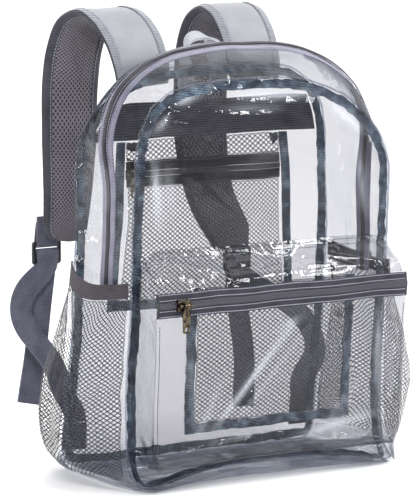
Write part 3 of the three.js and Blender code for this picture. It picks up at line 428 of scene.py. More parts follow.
# %% Hard finishes
def plated(name, dark, light, rough):
    material, tree = new_material(name)
    place = add_node(tree, "TexCoord").outputs["Object"]
    patches = add_node(tree, "TexNoise", values={"Scale": 260.0, "Detail": 3.0}, links={"Vector": place})
    tone = add_node(tree, "ValToRGB", links={"Fac": patches.outputs["Fac"]})
    tone.color_ramp.elements[0].position = 0.35
    tone.color_ramp.elements[0].color = colour(dark)
    tone.color_ramp.elements[1].position = 0.65
    tone.color_ramp.elements[1].color = colour(light)
    dull = add_node(
        tree,
        "MapRange",
        values={"To Min": rough - 0.08, "To Max": rough + 0.12},
        links={"Value": patches.outputs["Fac"]},
    )
    shader = add_node(
        tree,
        "BsdfPrincipled",
        values={"Metallic": 1.0},
        links={"Base Color": tone.outputs["Color"], "Roughness": dull.outputs["Result"]},
    )
    add_node(tree, "OutputMaterial", links={"Surface": shader.outputs["BSDF"]})
    return material


def moulded(name, tint, rough):
    material, tree = new_material(name)
    place = add_node(tree, "TexCoord").outputs["Object"]
    grain = add_node(tree, "TexNoise", values={"Scale": 900.0, "Detail": 2.0}, links={"Vector": place})
    dull = add_node(
        tree,
        "MapRange",
        values={"To Min": rough - 0.06, "To Max": rough + 0.08},
        links={"Value": grain.outputs["Fac"]},
    )
    shader = add_node(
        tree,
        "BsdfPrincipled",
        values={"Base Color": colour(tint), "IOR": 1.48},
        links={"Roughness": dull.outputs["Result"], "Normal": bumpy(tree, grain.outputs["Fac"], 0.15, 0.0002)},
    )
    add_node(tree, "OutputMaterial", links={"Surface": shader.outputs["BSDF"]})
    return material


antique_brass = plated("zinc_cast_antique_brass_plate", "#1f1c1a", "#6b604f", 0.25)
acetal = moulded("acetal_moulded_black", "#28282c", 0.4)
main_coil = moulded("nylon_coil_extruded_plum_grey", "#37333f", 0.34)
dark_coil = moulded("nylon_coil_extruded_charcoal", "#4a4853", 0.3)
black_coil = moulded("nylon_coil_extruded_black", "#1d1c22", 0.34)
print("hard finishes:", antique_brass.name, acetal.name, main_coil.name, dark_coil.name)

# %% [markdown]
# Modelling helpers. A thin piece starts as a copy of its CAD node, because that already fits its neighbours. The
# node's loose triangles are merged, paired into quads, its thin rims are creased and the rest is rounded by
# subdivision. All the soft parts are then moved by one shared field of small dents, so what is sewn together
# stays together.

# %% Helpers for modelling
def select_only(piece):
    bpy.ops.object.select_all(action="DESELECT")
    piece.select_set(True)
    bpy.context.view_layer.objects.active = piece


def copy_of(node, levels=2, rim_angle=55):
    piece = bpy.data.objects.new(node + "_skin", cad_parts[node].data.copy())
    bpy.context.scene.collection.objects.link(piece)
    select_only(piece)
    bpy.ops.mesh.customdata_custom_splitnormals_clear()
    bpy.ops.object.mode_set(mode="EDIT")
    bpy.ops.mesh.select_mode(type="EDGE")
    bpy.ops.mesh.select_all(action="SELECT")
    bpy.ops.mesh.remove_doubles(threshold=0.02 * mm)
    bpy.ops.mesh.tris_convert_to_quads(face_threshold=math.radians(50), shape_threshold=math.radians(80))
    bpy.ops.mesh.select_all(action="DESELECT")
    bpy.ops.mesh.edges_select_sharp(sharpness=math.radians(rim_angle))
    bpy.ops.transform.edge_crease(value=1)
    bpy.ops.object.mode_set(mode="OBJECT")
    if levels:
        smooth = piece.modifiers.new("round", "SUBSURF")
        smooth.levels = smooth.render_levels = levels
        bpy.ops.object.modifier_apply(modifier=smooth.name)
    bpy.ops.object.shade_smooth_by_angle(angle=math.radians(rim_angle))
    return piece


def surface_of(node):
    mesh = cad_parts[node].data
    return BVHTree.FromPolygons([v.co for v in mesh.vertices], [p.vertices for p in mesh.polygons])


still_places = [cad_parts[n] for n in ("pocket_slider", "organiser_slider", "pocket_pull", "organiser_pull")]
still_centres = [sum((v.co for v in o.data.vertices), Vector()) / len(o.data.vertices) for o in still_places]


def dent_field(place):
    """How far the soft parts of the bag are pushed out of shape at a place: nothing near the metal fittings."""
    wide = noise.noise_vector(place / (52 * mm)) * 1.5 * mm
    small = noise.noise_vector(place / (17 * mm)) * 0.35 * mm
    near = min((place - centre).length for centre in still_centres)
    calm = min(max((near - 14 * mm) / (25 * mm), 0), 1)
    low = min(max(place.z / (12 * mm), 0), 1)
    push = (wide + small) * calm
    return Vector((push.x, push.y, push.z * low))


def soften(piece, extra=None):
    for vertex in piece.data.vertices:
        place = vertex.co.copy()
        vertex.co = place + dent_field(place) + (extra(place) if extra else Vector())
        vertex.co.z = max(vertex.co.z, 0)
    return piece


def finish(piece, material, nodes=(), body="bag"):
    """Gives a piece its material, unless it has its own already, hides the CAD nodes it stands for and hangs it on its
    body.
    """
    if material:
        piece.data.materials.clear()
        piece.data.materials.append(material)
    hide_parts(*nodes)
    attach(piece, body)
    return piece


print("helpers ready")

# %% [markdown]
# The film panels. Besides the shared dents, each front sheet has its own creases, read from the photograph as
# lines across the sheet: where it starts and ends, how wide it is and how deep. A crease is a smooth valley with a
# sharper middle, which draws a bright line in glossy film. Film also crumples where a seam gathers it and in the
# pocket's and the bag's corners. How much is worked out at every vertex and kept in the crumple attribute, which
# the film's finish reads.

# %% Film panels
def crease_depth(creases, x, z):
    depth = 0
    for (x0, z0), (x1, z1), wide, deep in creases:
        along = Vector((x1 - x0, z1 - z0))
        reach = Vector((x - x0, z - z0))
        share = min(max(reach.dot(along) / along.length_squared, 0), 1)
        away = (reach - along * share).length / wide
        fade = math.sin(math.pi * min(max(0.06 + 0.88 * share, 0), 1)) ** 0.5
        depth += deep * fade * math.exp(-(away**1.2))
    return depth * mm


seams = [surface_of("front_binding"), surface_of("back_binding")]
crumpled_spots = [
    # x, z, radius, amount, in millimetres and as a share
    (-118, 222, 34, 1.0),
    (-80, 222, 36, 0.7),
    (128, 222, 34, 0.9),
    (-134, 44, 30, 0.8),
    (134, 46, 40, 1.0),
    (-104, 382, 44, 1.0),
    (112, 366, 40, 0.9),
    (-190, 20, 34, 0.9),
    (190, 20, 34, 0.9),
]


def crumple_at(place, base):
    """How crumpled the film is at a place, from 0 to 1: most along the seams and in the named corners."""
    gap = min(tree.find_nearest(place)[3] for tree in seams)
    amount = base + 0.8 * max(1 - gap / (20 * mm), 0)
    for x, z, radius, most in crumpled_spots if place.y < 0 else ():
        away = math.hypot(place.x / mm - x, place.z / mm - z) / radius
        amount += most * max(1 - away * away, 0)
    return min(amount, 1)


def crumpled(piece, base=0.0, creases=()):
    """Notes the crumple and a painted highlight along the creases, and moves the film a little where the crumple is
    strong.
    """
    note = piece.data.attributes.new("crumple", "FLOAT", "POINT")
    white = piece.data.attributes.new("painted_crease_highlight", "FLOAT", "POINT")
    for vertex in piece.data.vertices:
        # A painted highlight along each crease, strongest at its middle.
        deep = abs(crease_depth(creases, vertex.co.x / mm, vertex.co.z / mm)) / (3.5 * mm)
        white.data[vertex.index].value = min(deep, 1) ** 3
        amount = crumple_at(vertex.co, base)
        note.data[vertex.index].value = amount
        low = min(vertex.co.z / (8 * mm), 1)
        push = noise.noise_vector(vertex.co / (14 * mm)) * 1.6 * mm * amount
        vertex.co += Vector((push.x, push.y, push.z * low))
    return piece


pocket_creases = [
    ((-78, 58), (12, 158), 6, 3.4),
    ((-66, 52), (24, 152), 5, -2.4),
    ((-95, 52), (-70, 110), 6, 2.2),
    ((-110, 160), (-98, 60), 6, 1.6),
    ((-85, 46), (-30, 52), 6, 2.0),
    ((20, 44), (120, 58), 9, 2.6),
    ((112, 170), (118, 70), 7, 2.4),
    ((128, 160), (134, 60), 5, 2.0),
    ((60, 60), (100, 100), 8, 1.8),
    ((-20, 150), (30, 168), 8, 1.4),
]
pocket_top_creases = [
    ((-118, 226), (-60, 214), 7, -3.0),
    ((-90, 212), (20, 222), 6, 2.0),
    ((-20, 226), (70, 214), 7, 2.0),
    ((60, 226), (130, 210), 8, -3.2),
    ((20, 208), (120, 212), 5, 1.6),
]
front_creases = [
    ((-118, 372), (-60, 396), 7, 3.4),
    ((-128, 352), (-104, 378), 8, -3.0),
    ((-40, 384), (60, 380), 6, 3.0),
    ((-60, 372), (20, 368), 5, 1.8),
    ((70, 376), (118, 340), 8, 3.0),
    ((108, 330), (122, 250), 7, 2.4),
    ((-128, 330), (-120, 250), 7, 3.0),
    ((-112, 320), (-106, 262), 6, 2.0),
    ((-136, 60), (-128, 200), 6, 1.8),
    ((-60, 300), (60, 340), 16, 1.2),
]


def upright_lip(place):
    """Below the front seam the base film stands almost upright before it turns under the bag."""
    forward = min(max((-30 * mm - place.y) / (66 * mm), 0), 1)
    inside = min(max((185 * mm - abs(place.x)) / (40 * mm), 0), 1)
    drop = max(place.z - 1 * mm, 0) * (1 - forward**6) * inside if forward > 0 else 0
    return Vector((0, 0, -drop))


def creased(creases):
    def extra(place):
        return Vector((0, crease_depth(creases, place.x / mm, place.z / mm), 0))

    return extra


front_panel = soften(copy_of("front_panel", 3), creased(front_creases))
back_panel = soften(copy_of("back_panel", 3))
bottom_panel = soften(copy_of("bottom_panel", 3), upright_lip)
side_gussets = [soften(copy_of("side_gusset_" + side, 2)) for side in ("left", "right")]
top_gussets = [soften(copy_of("top_gusset_" + part, 2)) for part in ("front", "back")]
pocket_face = soften(copy_of("pocket_face", 3), creased(pocket_creases))
pocket_top = soften(copy_of("pocket_top", 3), creased(pocket_top_creases))
pocket_wall = soften(copy_of("pocket_wall", 3))
film_pieces = [front_panel, back_panel, bottom_panel, *side_gussets, *top_gussets, pocket_face, pocket_top, pocket_wall]
for piece in film_pieces:
    node = piece.name.removesuffix("_skin")
    creases = {"front_panel": front_creases, "pocket_face": pocket_creases}.get(node, ())
    crumpled(piece, 0.2 if piece in (pocket_wall, pocket_top) else 0.02, creases)
    finish(piece, base_film_painted_light if piece == bottom_panel else clear_film, [node])
    print(piece.name, len(piece.data.polygons), "faces")

# %% [markdown]
# Trims: zip tapes, ribbons that bind the raw seams, the ribbed elastic, the hems, and the clear strips that hold the
# feet of the side nets. Ribbon sewn round a curve puckers, so the two seam bindings get a crumple of their own.

# %% Trims
def pucker(place):
    return noise.noise_vector(place / (9 * mm)) * 1.5 * mm + noise.noise_vector(place / (4 * mm)) * 0.5 * mm


trims = {
    "main_zip_tape_front": (main_tape, "zip_tape", None),
    "main_zip_tape_back": (main_tape, "zip_tape", None),
    "pocket_zip_tape_lower": (pocket_tape, "zip_tape", None),
    "pocket_zip_tape_upper": (pocket_tape, "zip_tape", None),
    "organiser_zip_tape_lower": (organiser_tape, "zip_tape", None),
    "organiser_zip_tape_upper": (organiser_tape, "zip_tape", None),
    "front_binding": (navy_ribbon, "navy_ribbon", pucker),
    "back_binding": (navy_ribbon, "navy_ribbon", pucker),
    "organiser_ribbon": (navy_ribbon, "navy_ribbon", None),
    "pocket_net_ribbon": (navy_ribbon, "navy_ribbon", pucker),
    "side_foot_left": (clear_film, "clear_pvc", None),
    "side_foot_right": (clear_film, "clear_pvc", None),
    "side_hem_left": (hem_elastic, "elastic", None),
    "side_hem_right": (hem_elastic, "elastic", None),
    "elastic_band": (rib_elastic, "elastic", None),
    "strap_anchor_left": (grey_webbing, "webbing", None),
    "strap_anchor_right": (grey_webbing, "webbing", None),
}
for node, (material, slot, extra) in trims.items():
    levels = 3 if "binding" in node or "ribbon" in node else 2
    piece = soften(copy_of(node, levels), extra)
    finish(piece, material, [node])

# %% [markdown]
# Net. Real net is a lattice of knitted thread. A flat grid is poked, so that every square gets a middle point, and
# the grid's own edges are dissolved: what is left is diamonds. Insetting each diamond and deleting its inside
# leaves the threads. The flat lattice, cut to the net's real size, is then laid on its place in the bag.

# %% Net helpers
net_cell_wide, net_cell_high = 6.2 * mm, 4.6 * mm
net_strand = 0.95 * mm


def flat_net(name, wide, long):
    bpy.ops.object.select_all(action="DESELECT")
    bpy.ops.mesh.primitive_grid_add(
        x_subdivisions=round(wide / net_cell_wide), y_subdivisions=round(long / net_cell_high), size=1
    )
    net = bpy.context.active_object
    net.name = name
    for vertex in net.data.vertices:
        vertex.co = Vector(((vertex.co.x + 0.5) * wide, (vertex.co.y + 0.5) * long, 0))
    bpy.ops.object.mode_set(mode="EDIT")
    bpy.ops.mesh.select_mode(type="EDGE")
    bpy.ops.mesh.select_all(action="SELECT")
    bpy.ops.mesh.poke()
    mesh = bmesh.from_edit_mesh(net.data)
    for edge in mesh.edges:
        run = edge.verts[1].co - edge.verts[0].co
        edge.select_set(min(abs(run.x), abs(run.y)) < 1e-6 and len(edge.link_faces) == 2)
    bmesh.update_edit_mesh(net.data)
    bpy.ops.mesh.dissolve_edges(use_verts=False)
    bpy.ops.mesh.select_mode(type="FACE")
    bpy.ops.mesh.select_all(action="SELECT")
    bpy.ops.mesh.inset(thickness=net_strand / 2, use_individual=True, use_boundary=True)
    bpy.ops.mesh.delete(type="FACE")
    bpy.ops.object.mode_set(mode="OBJECT")
    return net


def laid_on(tree, start, towards):
    hit = tree.ray_cast(start, towards)[0]
    return hit if hit else tree.find_nearest(start + towards * 0.3)[0]


def hang_net(node, net, place):
    """Lays a flat net on its CAD node: place(u, v) gives the start and direction of the ray that finds it."""
    tree = surface_of(node)
    wide = max(v.co.x for v in net.data.vertices)
    long = max(v.co.y for v in net.data.vertices)
    for vertex in net.data.vertices:
        start, towards = place(vertex.co.x / wide, vertex.co.y / long)
        vertex.co = laid_on(tree, start, towards)
    soften(net)
    select_only(net)
    bpy.ops.object.shade_smooth()
    return finish(net, net_thread, [node])


print("net cell", net_cell_wide / mm, "by", net_cell_high / mm, "mm")

# %% [markdown]
# Three flat nets hang inside: two in the organiser on the back panel and one in the front pocket. Each is laid on
# its CAD solid by rays from the front.

# %% Flat nets
def from_front(node, half_low, half_high, centre):
    low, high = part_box(node)

    def place(u, v):
        z = low.z + (high.z - low.z) * (0.002 + 0.996 * v)
        half = half_low + (half_high - half_low) * (1 - (1 - v) ** 2)
        return Vector((centre + (2 * u - 1) * half * 0.998, -0.4, z)), Vector((0, 1, 0))

    return place


for node in ("organiser_net_lower", "organiser_net_upper", "pocket_net"):
    low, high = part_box(node)
    wide, long = high.x - low.x, high.z - low.z
    half = wide / 2
    half_high = half - 9.3 * mm if node == "organiser_net_lower" else half
    net = flat_net(node + "_lattice", wide, long)
    hang_net(node, net, from_front(node, half, half_high, (low.x + high.x) / 2))
    print(net.name, len(net.data.polygons), "faces")

# %% [markdown]
# The side pockets are gathered into an elastic hem, so the net bulges and falls in soft pleats. The net is spread
# evenly over the bulge first, by measuring lengths along it, or its diamonds would stretch at the sides.

# %% Side nets
def even_steps(lengths, count):
    """Where along a measured line the evenly spaced steps fall, as shares of its parameter."""
    total = sum(lengths)
    steps, walked, k = [], 0.0, 0
    for n in range(count + 1):
        goal = total * n / count
        while k < len(lengths) - 1 and walked + lengths[k] < goal:
            walked += lengths[k]
            k += 1
        steps.append((k + (goal - walked) / lengths[k]) / len(lengths))
    return steps


def read_steps(steps, share):
    at = min(max(share, 0), 1) * (len(steps) - 1)
    k = min(int(at), len(steps) - 2)
    return steps[k] + (steps[k + 1] - steps[k]) * (at - k)


def reach_at(node, axis, along, share):
    """Cuts a node's surface by a plane across one axis, and gives how far the cut reaches along another."""
    low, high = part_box(node)
    level = low[axis] + (high[axis] - low[axis]) * (0.004 + 0.992 * share)
    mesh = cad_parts[node].data
    found = []
    for edge in mesh.edges:
        a, b = (mesh.vertices[v].co for v in edge.vertices)
        if (a[axis] - level) * (b[axis] - level) < 0:
            found.append(a[along] + (b[along] - a[along]) * (level - a[axis]) / (b[axis] - a[axis]))
    return min(found), max(found)


def side_net(side_name, side):
    node = "side_net_" + side_name
    tree = surface_of(node)
    low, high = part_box(node)
    levels = 40
    ends = [reach_at(node, 2, 1, k / levels) for k in range(levels + 1)]
    rims = [reach_at(node, 1, 2, k / levels) for k in range(levels + 1)]
    fronts, backs = [e[0] for e in ends], [e[1] for e in ends]
    feet, tops = [r[0] for r in rims], [r[1] for r in rims]

    def raw(u, v):
        y = low.y + (high.y - low.y) * u
        for _ in range(4):
            back_share = (y - low.y) / (high.y - low.y)
            foot, top = read_steps(feet, back_share), read_steps(tops, back_share)
            z = foot + (top - foot) * (0.004 + 0.992 * v)
            up_share = (z - low.z) / (high.z - low.z)
            front, back = read_steps(fronts, up_share), read_steps(backs, up_share)
            y = front + (back - front) * (0.006 + 0.988 * u)
        return laid_on(tree, Vector((side * 0.5, y, z)), Vector((-side, 0, 0)))

    across = [(raw((k + 1) / 60, 0.4) - raw(k / 60, 0.4)).length for k in range(60)]
    up = [(raw(0.5, (k + 1) / 60) - raw(0.5, k / 60)).length for k in range(60)]
    across_steps, up_steps = even_steps(across, 60), even_steps(up, 60)
    wide, long = sum(across), sum(up)
    net = flat_net(node + "_lattice", wide, long)
    pleats = 7
    for vertex in net.data.vertices:
        u, v = vertex.co.x / wide, vertex.co.y / long
        place = raw(read_steps(across_steps, u), read_steps(up_steps, v))
        gather = (v**1.3) * math.sin(math.pi * min(max(u, 0), 1)) ** 0.5 * (1 - v**8)
        wave = math.sin(2 * math.pi * pleats * u + 1.4 * math.sin(4 * v + 3 * u))
        belly = 9 * math.sin(math.pi * u) * math.sin(math.pi * min(v / 0.98, 1) ** 2)
        vertex.co = place + Vector((side * ((2.2 * wave - 1.4) * gather + belly) * mm, 0, 0))
    soften(net, lambda p: noise.noise_vector(p / (24 * mm)) * 1.6 * mm)
    select_only(net)
    bpy.ops.object.shade_smooth()
    finish(net, net_thread, [node])
    print(net.name, len(net.data.polygons), "faces,", round(wide / mm), "by", round(long / mm), "mm")


side_net("left", -1)
side_net("right", 1)

# %% [markdown]
# A zip's coil and a seam's stitches are one small shape repeated along a line. The shape is modelled once, and a
# helper puts a copy at every step of the line, turned to lie along it, in one mesh.

# %% Helpers for rows
def unit_bar(long, wide, thick, bevel):
    """A small rounded bar along Y, lying on the XY plane."""
    bpy.ops.object.select_all(action="DESELECT")
    bpy.ops.mesh.primitive_cube_add(size=1)
    bar = bpy.context.active_object
    for vertex in bar.data.vertices:
        vertex.co = Vector((vertex.co.x * wide, vertex.co.y * long, vertex.co.z * thick))
    bpy.ops.object.mode_set(mode="EDIT")
    bpy.ops.mesh.select_all(action="SELECT")
    bpy.ops.mesh.bevel(offset=bevel, segments=1)
    bpy.ops.object.mode_set(mode="OBJECT")
    points = [v.co.copy() for v in bar.data.vertices]
    faces = [tuple(p.vertices) for p in bar.data.polygons]
    bpy.data.objects.remove(bar)
    return points, faces


def row_mesh(name, unit, frames):
    """Copies of a unit at each frame, a matrix, in one mesh."""
    points, faces = unit
    all_points, all_faces = [], []
    for matrix in frames:
        start = len(all_points)
        all_points += [matrix @ p for p in points]
        all_faces += [tuple(start + k for k in face) for face in faces]
    mesh = bpy.data.meshes.new(name)
    mesh.from_pydata(all_points, [], all_faces)
    row = bpy.data.objects.new(name, mesh)
    bpy.context.scene.collection.objects.link(row)
    select_only(row)
    bpy.ops.object.shade_smooth_by_angle(angle=math.radians(40))
    return row


def walk(points, normals, pitch, lift=0.0, slant=0.0, shift=0.0):
    """Matrices every pitch along a line of points: Y along the line, Z along the normal there."""
    frames = []
    left = pitch / 2 + shift
    for k in range(len(points) - 1):
        run = points[k + 1] - points[k]
        length = run.length
        if length < 1e-9:
            continue
        while left <= length:
            share = left / length
            forward = run.normalized()
            up = normals[k].lerp(normals[k + 1], share)
            up = (up - forward * up.dot(forward)).normalized()
            aside = forward.cross(up)
            place = points[k] + run * share + up * lift
            turned = forward * math.cos(slant) + aside * math.sin(slant)
            across = turned.cross(up)
            matrix = Matrix((across, turned, up)).transposed().to_4x4()
            matrix.translation = place
            frames.append(matrix)
            left += pitch
        left -= length
    return frames


def smooth_line(points, steps=8):
    """More points on a smooth curve through the given ones, rounding each bend by how far apart they are."""
    ends = [points[0] * 2 - points[1], *points, points[-1] * 2 - points[-2]]
    line = []
    for k in range(1, len(points)):
        before, first, last, after = ends[k - 1 : k + 3]
        gaps = [max((b - a).length, 1e-6) ** 0.5 for a, b in ((before, first), (first, last), (last, after))]
        leave = (first - before) / gaps[0] - (last - before) / (gaps[0] + gaps[1]) + (last - first) / gaps[1]
        reach = (last - first) / gaps[1] - (after - first) / (gaps[1] + gaps[2]) + (after - last) / gaps[2]
        leave, reach = leave * gaps[1], reach * gaps[1]
        for n in range(steps):
            t = n / steps
            line.append(
                first
                + leave * t
                + (3 * (last - first) - 2 * leave - reach) * t * t
                + (2 * (first - last) + leave + reach) * t**3
            )
    line.append(points[-1].copy())
    return line


def stations(node, centre):
    """Reads a strip's cross-sections from its CAD node, in order round a centre: middle, half width and outward."""
    found = {}
    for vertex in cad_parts[node].data.vertices:
        found[tuple(round(c * 1e5) for c in vertex.co)] = vertex.co.copy()
    points = sorted(found.values(), key=lambda p: math.atan2(p.x - centre[0], p.z - centre[1]))
    rows = []
    for k in range(0, len(points) - 3, 4):
        group = points[k : k + 4]
        middle = sum(group, Vector()) / 4
        group.sort(key=lambda p: p.y)
        half = (group[2] + group[3] - group[0] - group[1]) / 4
        rows.append((middle, half))
    return rows


print("row helpers ready")

# %% [markdown]
# The zips. Each coil is two rows of small rounded bars that meet in the middle, standing on a dark core, which is
# a copy of the chain's CAD node. The main zip runs over the top; its line is read from the chain's own sections.

# %% Zip coils
def top_line(node, aside=0.0):
    """The line along a strip that runs over the top, with its outward normals; aside is a share of its half width."""
    rows = stations(node, (0, 0.2))
    middles = smooth_line([middle + half * aside for middle, half in rows])
    halves = smooth_line([half for middle, half in rows])
    normals = []
    for k, point in enumerate(middles):
        run = middles[min(k + 1, len(middles) - 1)] - middles[max(k - 1, 0)]
        up = run.cross(halves[k]).normalized()
        outward = Vector((point.x, 0, point.z - 0.2))
        normals.append(up if up.dot(outward) > 0 else -up)
    return [p + dent_field(p) for p in middles], normals


def front_line(node, spots):
    """Points on a node's front at these places (x, z) in millimetres, with the normals there."""
    tree = surface_of(node)
    points, normals = [], []
    for x, z in spots:
        hit, normal = tree.ray_cast(Vector((x * mm, -0.4, z * mm)), Vector((0, 1, 0)))[:2]
        if hit is None:
            hit, normal = tree.find_nearest(Vector((x * mm, -0.12, z * mm)))[:2]
        points.append(hit + dent_field(hit))
        normals.append(normal if normal.y < 0 else -normal)
    return points, normals


def level_spots(node, up, gap=6.0, ends=2.0):
    """Places along a level piece, at a share up its height, following its rise."""
    low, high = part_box(node)
    count = max(int((high.x - low.x) / mm / gap), 2)
    z = (low.z + (high.z - low.z) * up) / mm
    x0, x1 = low.x / mm + ends, high.x / mm - ends
    return [(x0 + (x1 - x0) * k / count, z) for k in range(count + 1)]


def coil(node, line, wide, pitch, thick, material, lift):
    points, normals = line
    unit = unit_bar(pitch * 0.62, wide * 0.54, thick, pitch * 0.18)
    frames = []
    for side in (-1, 1):
        shifted = []
        for k, point in enumerate(points):
            run = points[min(k + 1, len(points) - 1)] - points[max(k - 1, 0)]
            shifted.append(point + run.cross(normals[k]).normalized() * side * wide * 0.25)
        frames += walk(shifted, normals, pitch, lift, side * 0.22, pitch / 2 * (side > 0))
    row = row_mesh(node + "_coil", unit, frames)
    finish(row, material)
    core = finish(soften(copy_of(node, 2)), acetal, [node])
    print(row.name, len(frames), "turns on", core.name)
    return row


coil("main_zip_chain", top_line("main_zip_chain"), 6.2 * mm, 1.9 * mm, 1.3 * mm, main_coil, 1.25 * mm)
pocket_chain_line = front_line("pocket_zip_chain", level_spots("pocket_zip_chain", 0.5))
coil("pocket_zip_chain", pocket_chain_line, 5.6 * mm, 1.8 * mm, 1.2 * mm, dark_coil, 0.0)
organiser_chain_line = front_line("organiser_zip_chain", level_spots("organiser_zip_chain", 0.5))
coil("organiser_zip_chain", organiser_chain_line, 5.0 * mm, 1.7 * mm, 1.1 * mm, black_coil, 0.0)

# %% [markdown]
# Stitching shows on every seam: a lockstitch of about eight stitches to the inch, so one every 3.2 mm. Pale thread
# runs along both edges of each tape and of the straps, slate thread along the pocket's seams and the dark trims.
# Real thread is half a millimetre thick. It is drawn at 0.8 mm, or it wouldn't show in the picture.

# %% Stitches
stitch_pitch = 3.2 * mm
stitch = (2.4 * mm, 0.8 * mm, 0.6 * mm, 0.2 * mm)


def stitch_rows(name, lines, material, lift=0.15 * mm):
    frames = []
    for points, normals in lines:
        frames += walk(points, normals, stitch_pitch, lift)
    row = row_mesh(name, unit_bar(*stitch), frames)
    finish(row, material)
    print(name, len(frames), "stitches")


def upright_spots(x0, z0, x1, z1, gap=8.0):
    count = max(int(math.hypot(x1 - x0, z1 - z0) / gap), 2)
    return [(x0 + (x1 - x0) * k / count, z0 + (z1 - z0) * k / count) for k in range(count + 1)]


tape_lift = 0.7 * mm
stitch_rows(
    "main_zip_stitches",
    [top_line("main_zip_tape_" + part, aside) for part in ("front", "back") for aside in (-0.72, 0.72)],
    seam_thread,
    tape_lift,
)
stitch_rows(
    "pocket_zip_stitches",
    [
        front_line("pocket_zip_tape_" + part, level_spots("pocket_zip_tape_" + part, up))
        for part, up in (("lower", 0.16), ("lower", 0.8), ("upper", 0.2), ("upper", 0.84))
    ],
    seam_thread,
)
pocket_low, pocket_high = [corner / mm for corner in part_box("pocket_face")]
face_edges = [
    upright_spots(side * 141.5, 34, side * 142.5, 168) for side in (-1, 1)
] + [upright_spots(-136, 28.5, 136, 28.5)]
stitch_rows("pocket_face_stitches", [front_line("pocket_face", spots) for spots in face_edges], dark_thread)
top_rows = [upright_spots(-124, z, 124, z) for z in (233.5, 229)]
stitch_rows("pocket_top_stitches", [front_line("pocket_top", spots) for spots in top_rows], dark_thread)
stitch_rows(
    "organiser_zip_stitches",
    [
        front_line("organiser_zip_tape_" + part, level_spots("organiser_zip_tape_" + part, up))
        for part, up in (("lower", 0.15), ("upper", 0.85))
    ],
    dark_thread,
)
stitch_rows(
    "elastic_band_stitches",
    [front_line("elastic_band", level_spots("elastic_band", up, ends=5)) for up in (0.06, 0.94)],
    dark_thread,
)

# %% [markdown]
# A clear welt, a thin extruded PVC cord, is sewn into the front and back seams. It stands just proud of the film
# and draws the bright outline of the bag. Its line is the panel's own rim, found from outside the seam's ribbon.
# Beside it runs the seam's stitching, which is not drawn.

# %% Seam welts
def seam_line(binding, panel, out):
    tree = surface_of(panel)
    rows = stations(binding, (0, 0.2))
    middles = [middle for middle, half in rows]
    loop = smooth_line(middles + middles[:1], 6)
    line = []
    for point in loop:
        away = Vector((point.x, 0, point.z - 0.2)).normalized()
        line.append(tree.find_nearest(point + away * out)[0])
    return line


def tube(name, points, radius):
    curve = bpy.data.curves.new(name, "CURVE")
    curve.dimensions = "3D"
    curve.bevel_depth = radius
    curve.bevel_resolution = 2
    spline = curve.splines.new("POLY")
    spline.points.add(len(points) - 1)
    for spot, point in zip(spline.points, points):
        spot.co = (*point, 1)
    spline.use_cyclic_u = True
    piece = bpy.data.objects.new(name, curve)
    bpy.context.scene.collection.objects.link(piece)
    select_only(piece)
    bpy.ops.object.convert(target="MESH")
    bpy.ops.object.shade_smooth()
    return bpy.context.active_object


for binding, panel in (("front_binding", "front_panel"), ("back_binding", "back_panel")):
    rim = seam_line(binding, panel, 14 * mm)
    clean = [rim[0]]
    for point in rim[1:]:
        if (point - clean[-1]).length > 2.5 * mm:
            clean.append(point)
    if (clean[0] - clean[-1]).length < 2.5 * mm:
        clean.pop()
    welt = tube(panel + "_welt", [p + dent_field(p) for p in clean], 1.1 * mm)
    finish(welt, clear_welt)
    print(welt.name, len(welt.data.polygons), "faces")

# %% [markdown]
# The shoulder straps are foam between two cloths. Each starts as a flat grid, extruded into a slab, and is bent
# along the strap's route, which repeats the CAD source's own table. The edges are pinned and cloth simulation with
# a little air pressure swells the pad between them, as foam does between its bound edges.

# %% Shoulder straps
strap_route = [
    # out, rise, drop, swing left, swing right, width, padding
    (0.0, 0.0, 0.0, 0.0, 0.0, 0.95, 0.3),
    (0.03, 0.3, 0.0, 0.03, 0.05, 0.98, 0.5),
    (0.14, 0.68, 0.0, 0.14, 0.2, 1.0, 0.85),
    (0.36, 0.94, 0.0, 0.3, 0.35, 1.0, 1.0),
    (0.62, 1.0, 0.0, 0.46, 0.5, 1.0, 1.0),
    (0.86, 0.84, 0.0, 0.6, 0.7, 1.0, 1.0),
    (0.99, 0.48, 0.0, 0.7, 0.9, 1.0, 1.0),
    (1.02, 0.0, 0.0, 0.77, 1.0, 1.0, 1.0),
    (1.0, 0.0, 0.36, 0.81, 1.05, 0.97, 1.0),
    (0.95, 0.0, 0.68, 0.88, 0.6, 0.86, 0.95),
    (0.9, 0.0, 0.92, 0.97, -0.45, 0.76, 0.8),
    (0.88, 0.0, 1.0, 1.0, -0.8, 0.6, 0.45),
]
strap_root, strap_apart, arch_rise, stand_off = 384 * mm, 66 * mm, 72 * mm, 70 * mm
pad_thick, edge_thick = 10.4 * mm, 3.2 * mm
strap_facts = {"left": (-1, -58 * mm, 160 * mm), "right": (1, -21 * mm, 182 * mm)}


def strap_shape(name):
    """The strap's middle line in even steps, each with its width and its padding."""
    side, swing, hang = strap_facts[name]
    column = 3 if side < 0 else 4
    root_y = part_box("strap_" + name)[0].y + edge_thick / 2
    points = [
        Vector(
            (
                side * strap_apart + swing * row[column],
                root_y + stand_off * row[0],
                strap_root + arch_rise * row[1] - hang * row[2],
            )
        )
        for row in strap_route
    ]
    fine = smooth_line(points, 16)
    sizes = []
    for k in range(len(fine)):
        row = min(k // 16, len(strap_route) - 2)
        share = k / 16 - row
        sizes.append(
            [strap_route[row][c] + (strap_route[row + 1][c] - strap_route[row][c]) * share for c in (5, 6)]
        )
    return fine, sizes


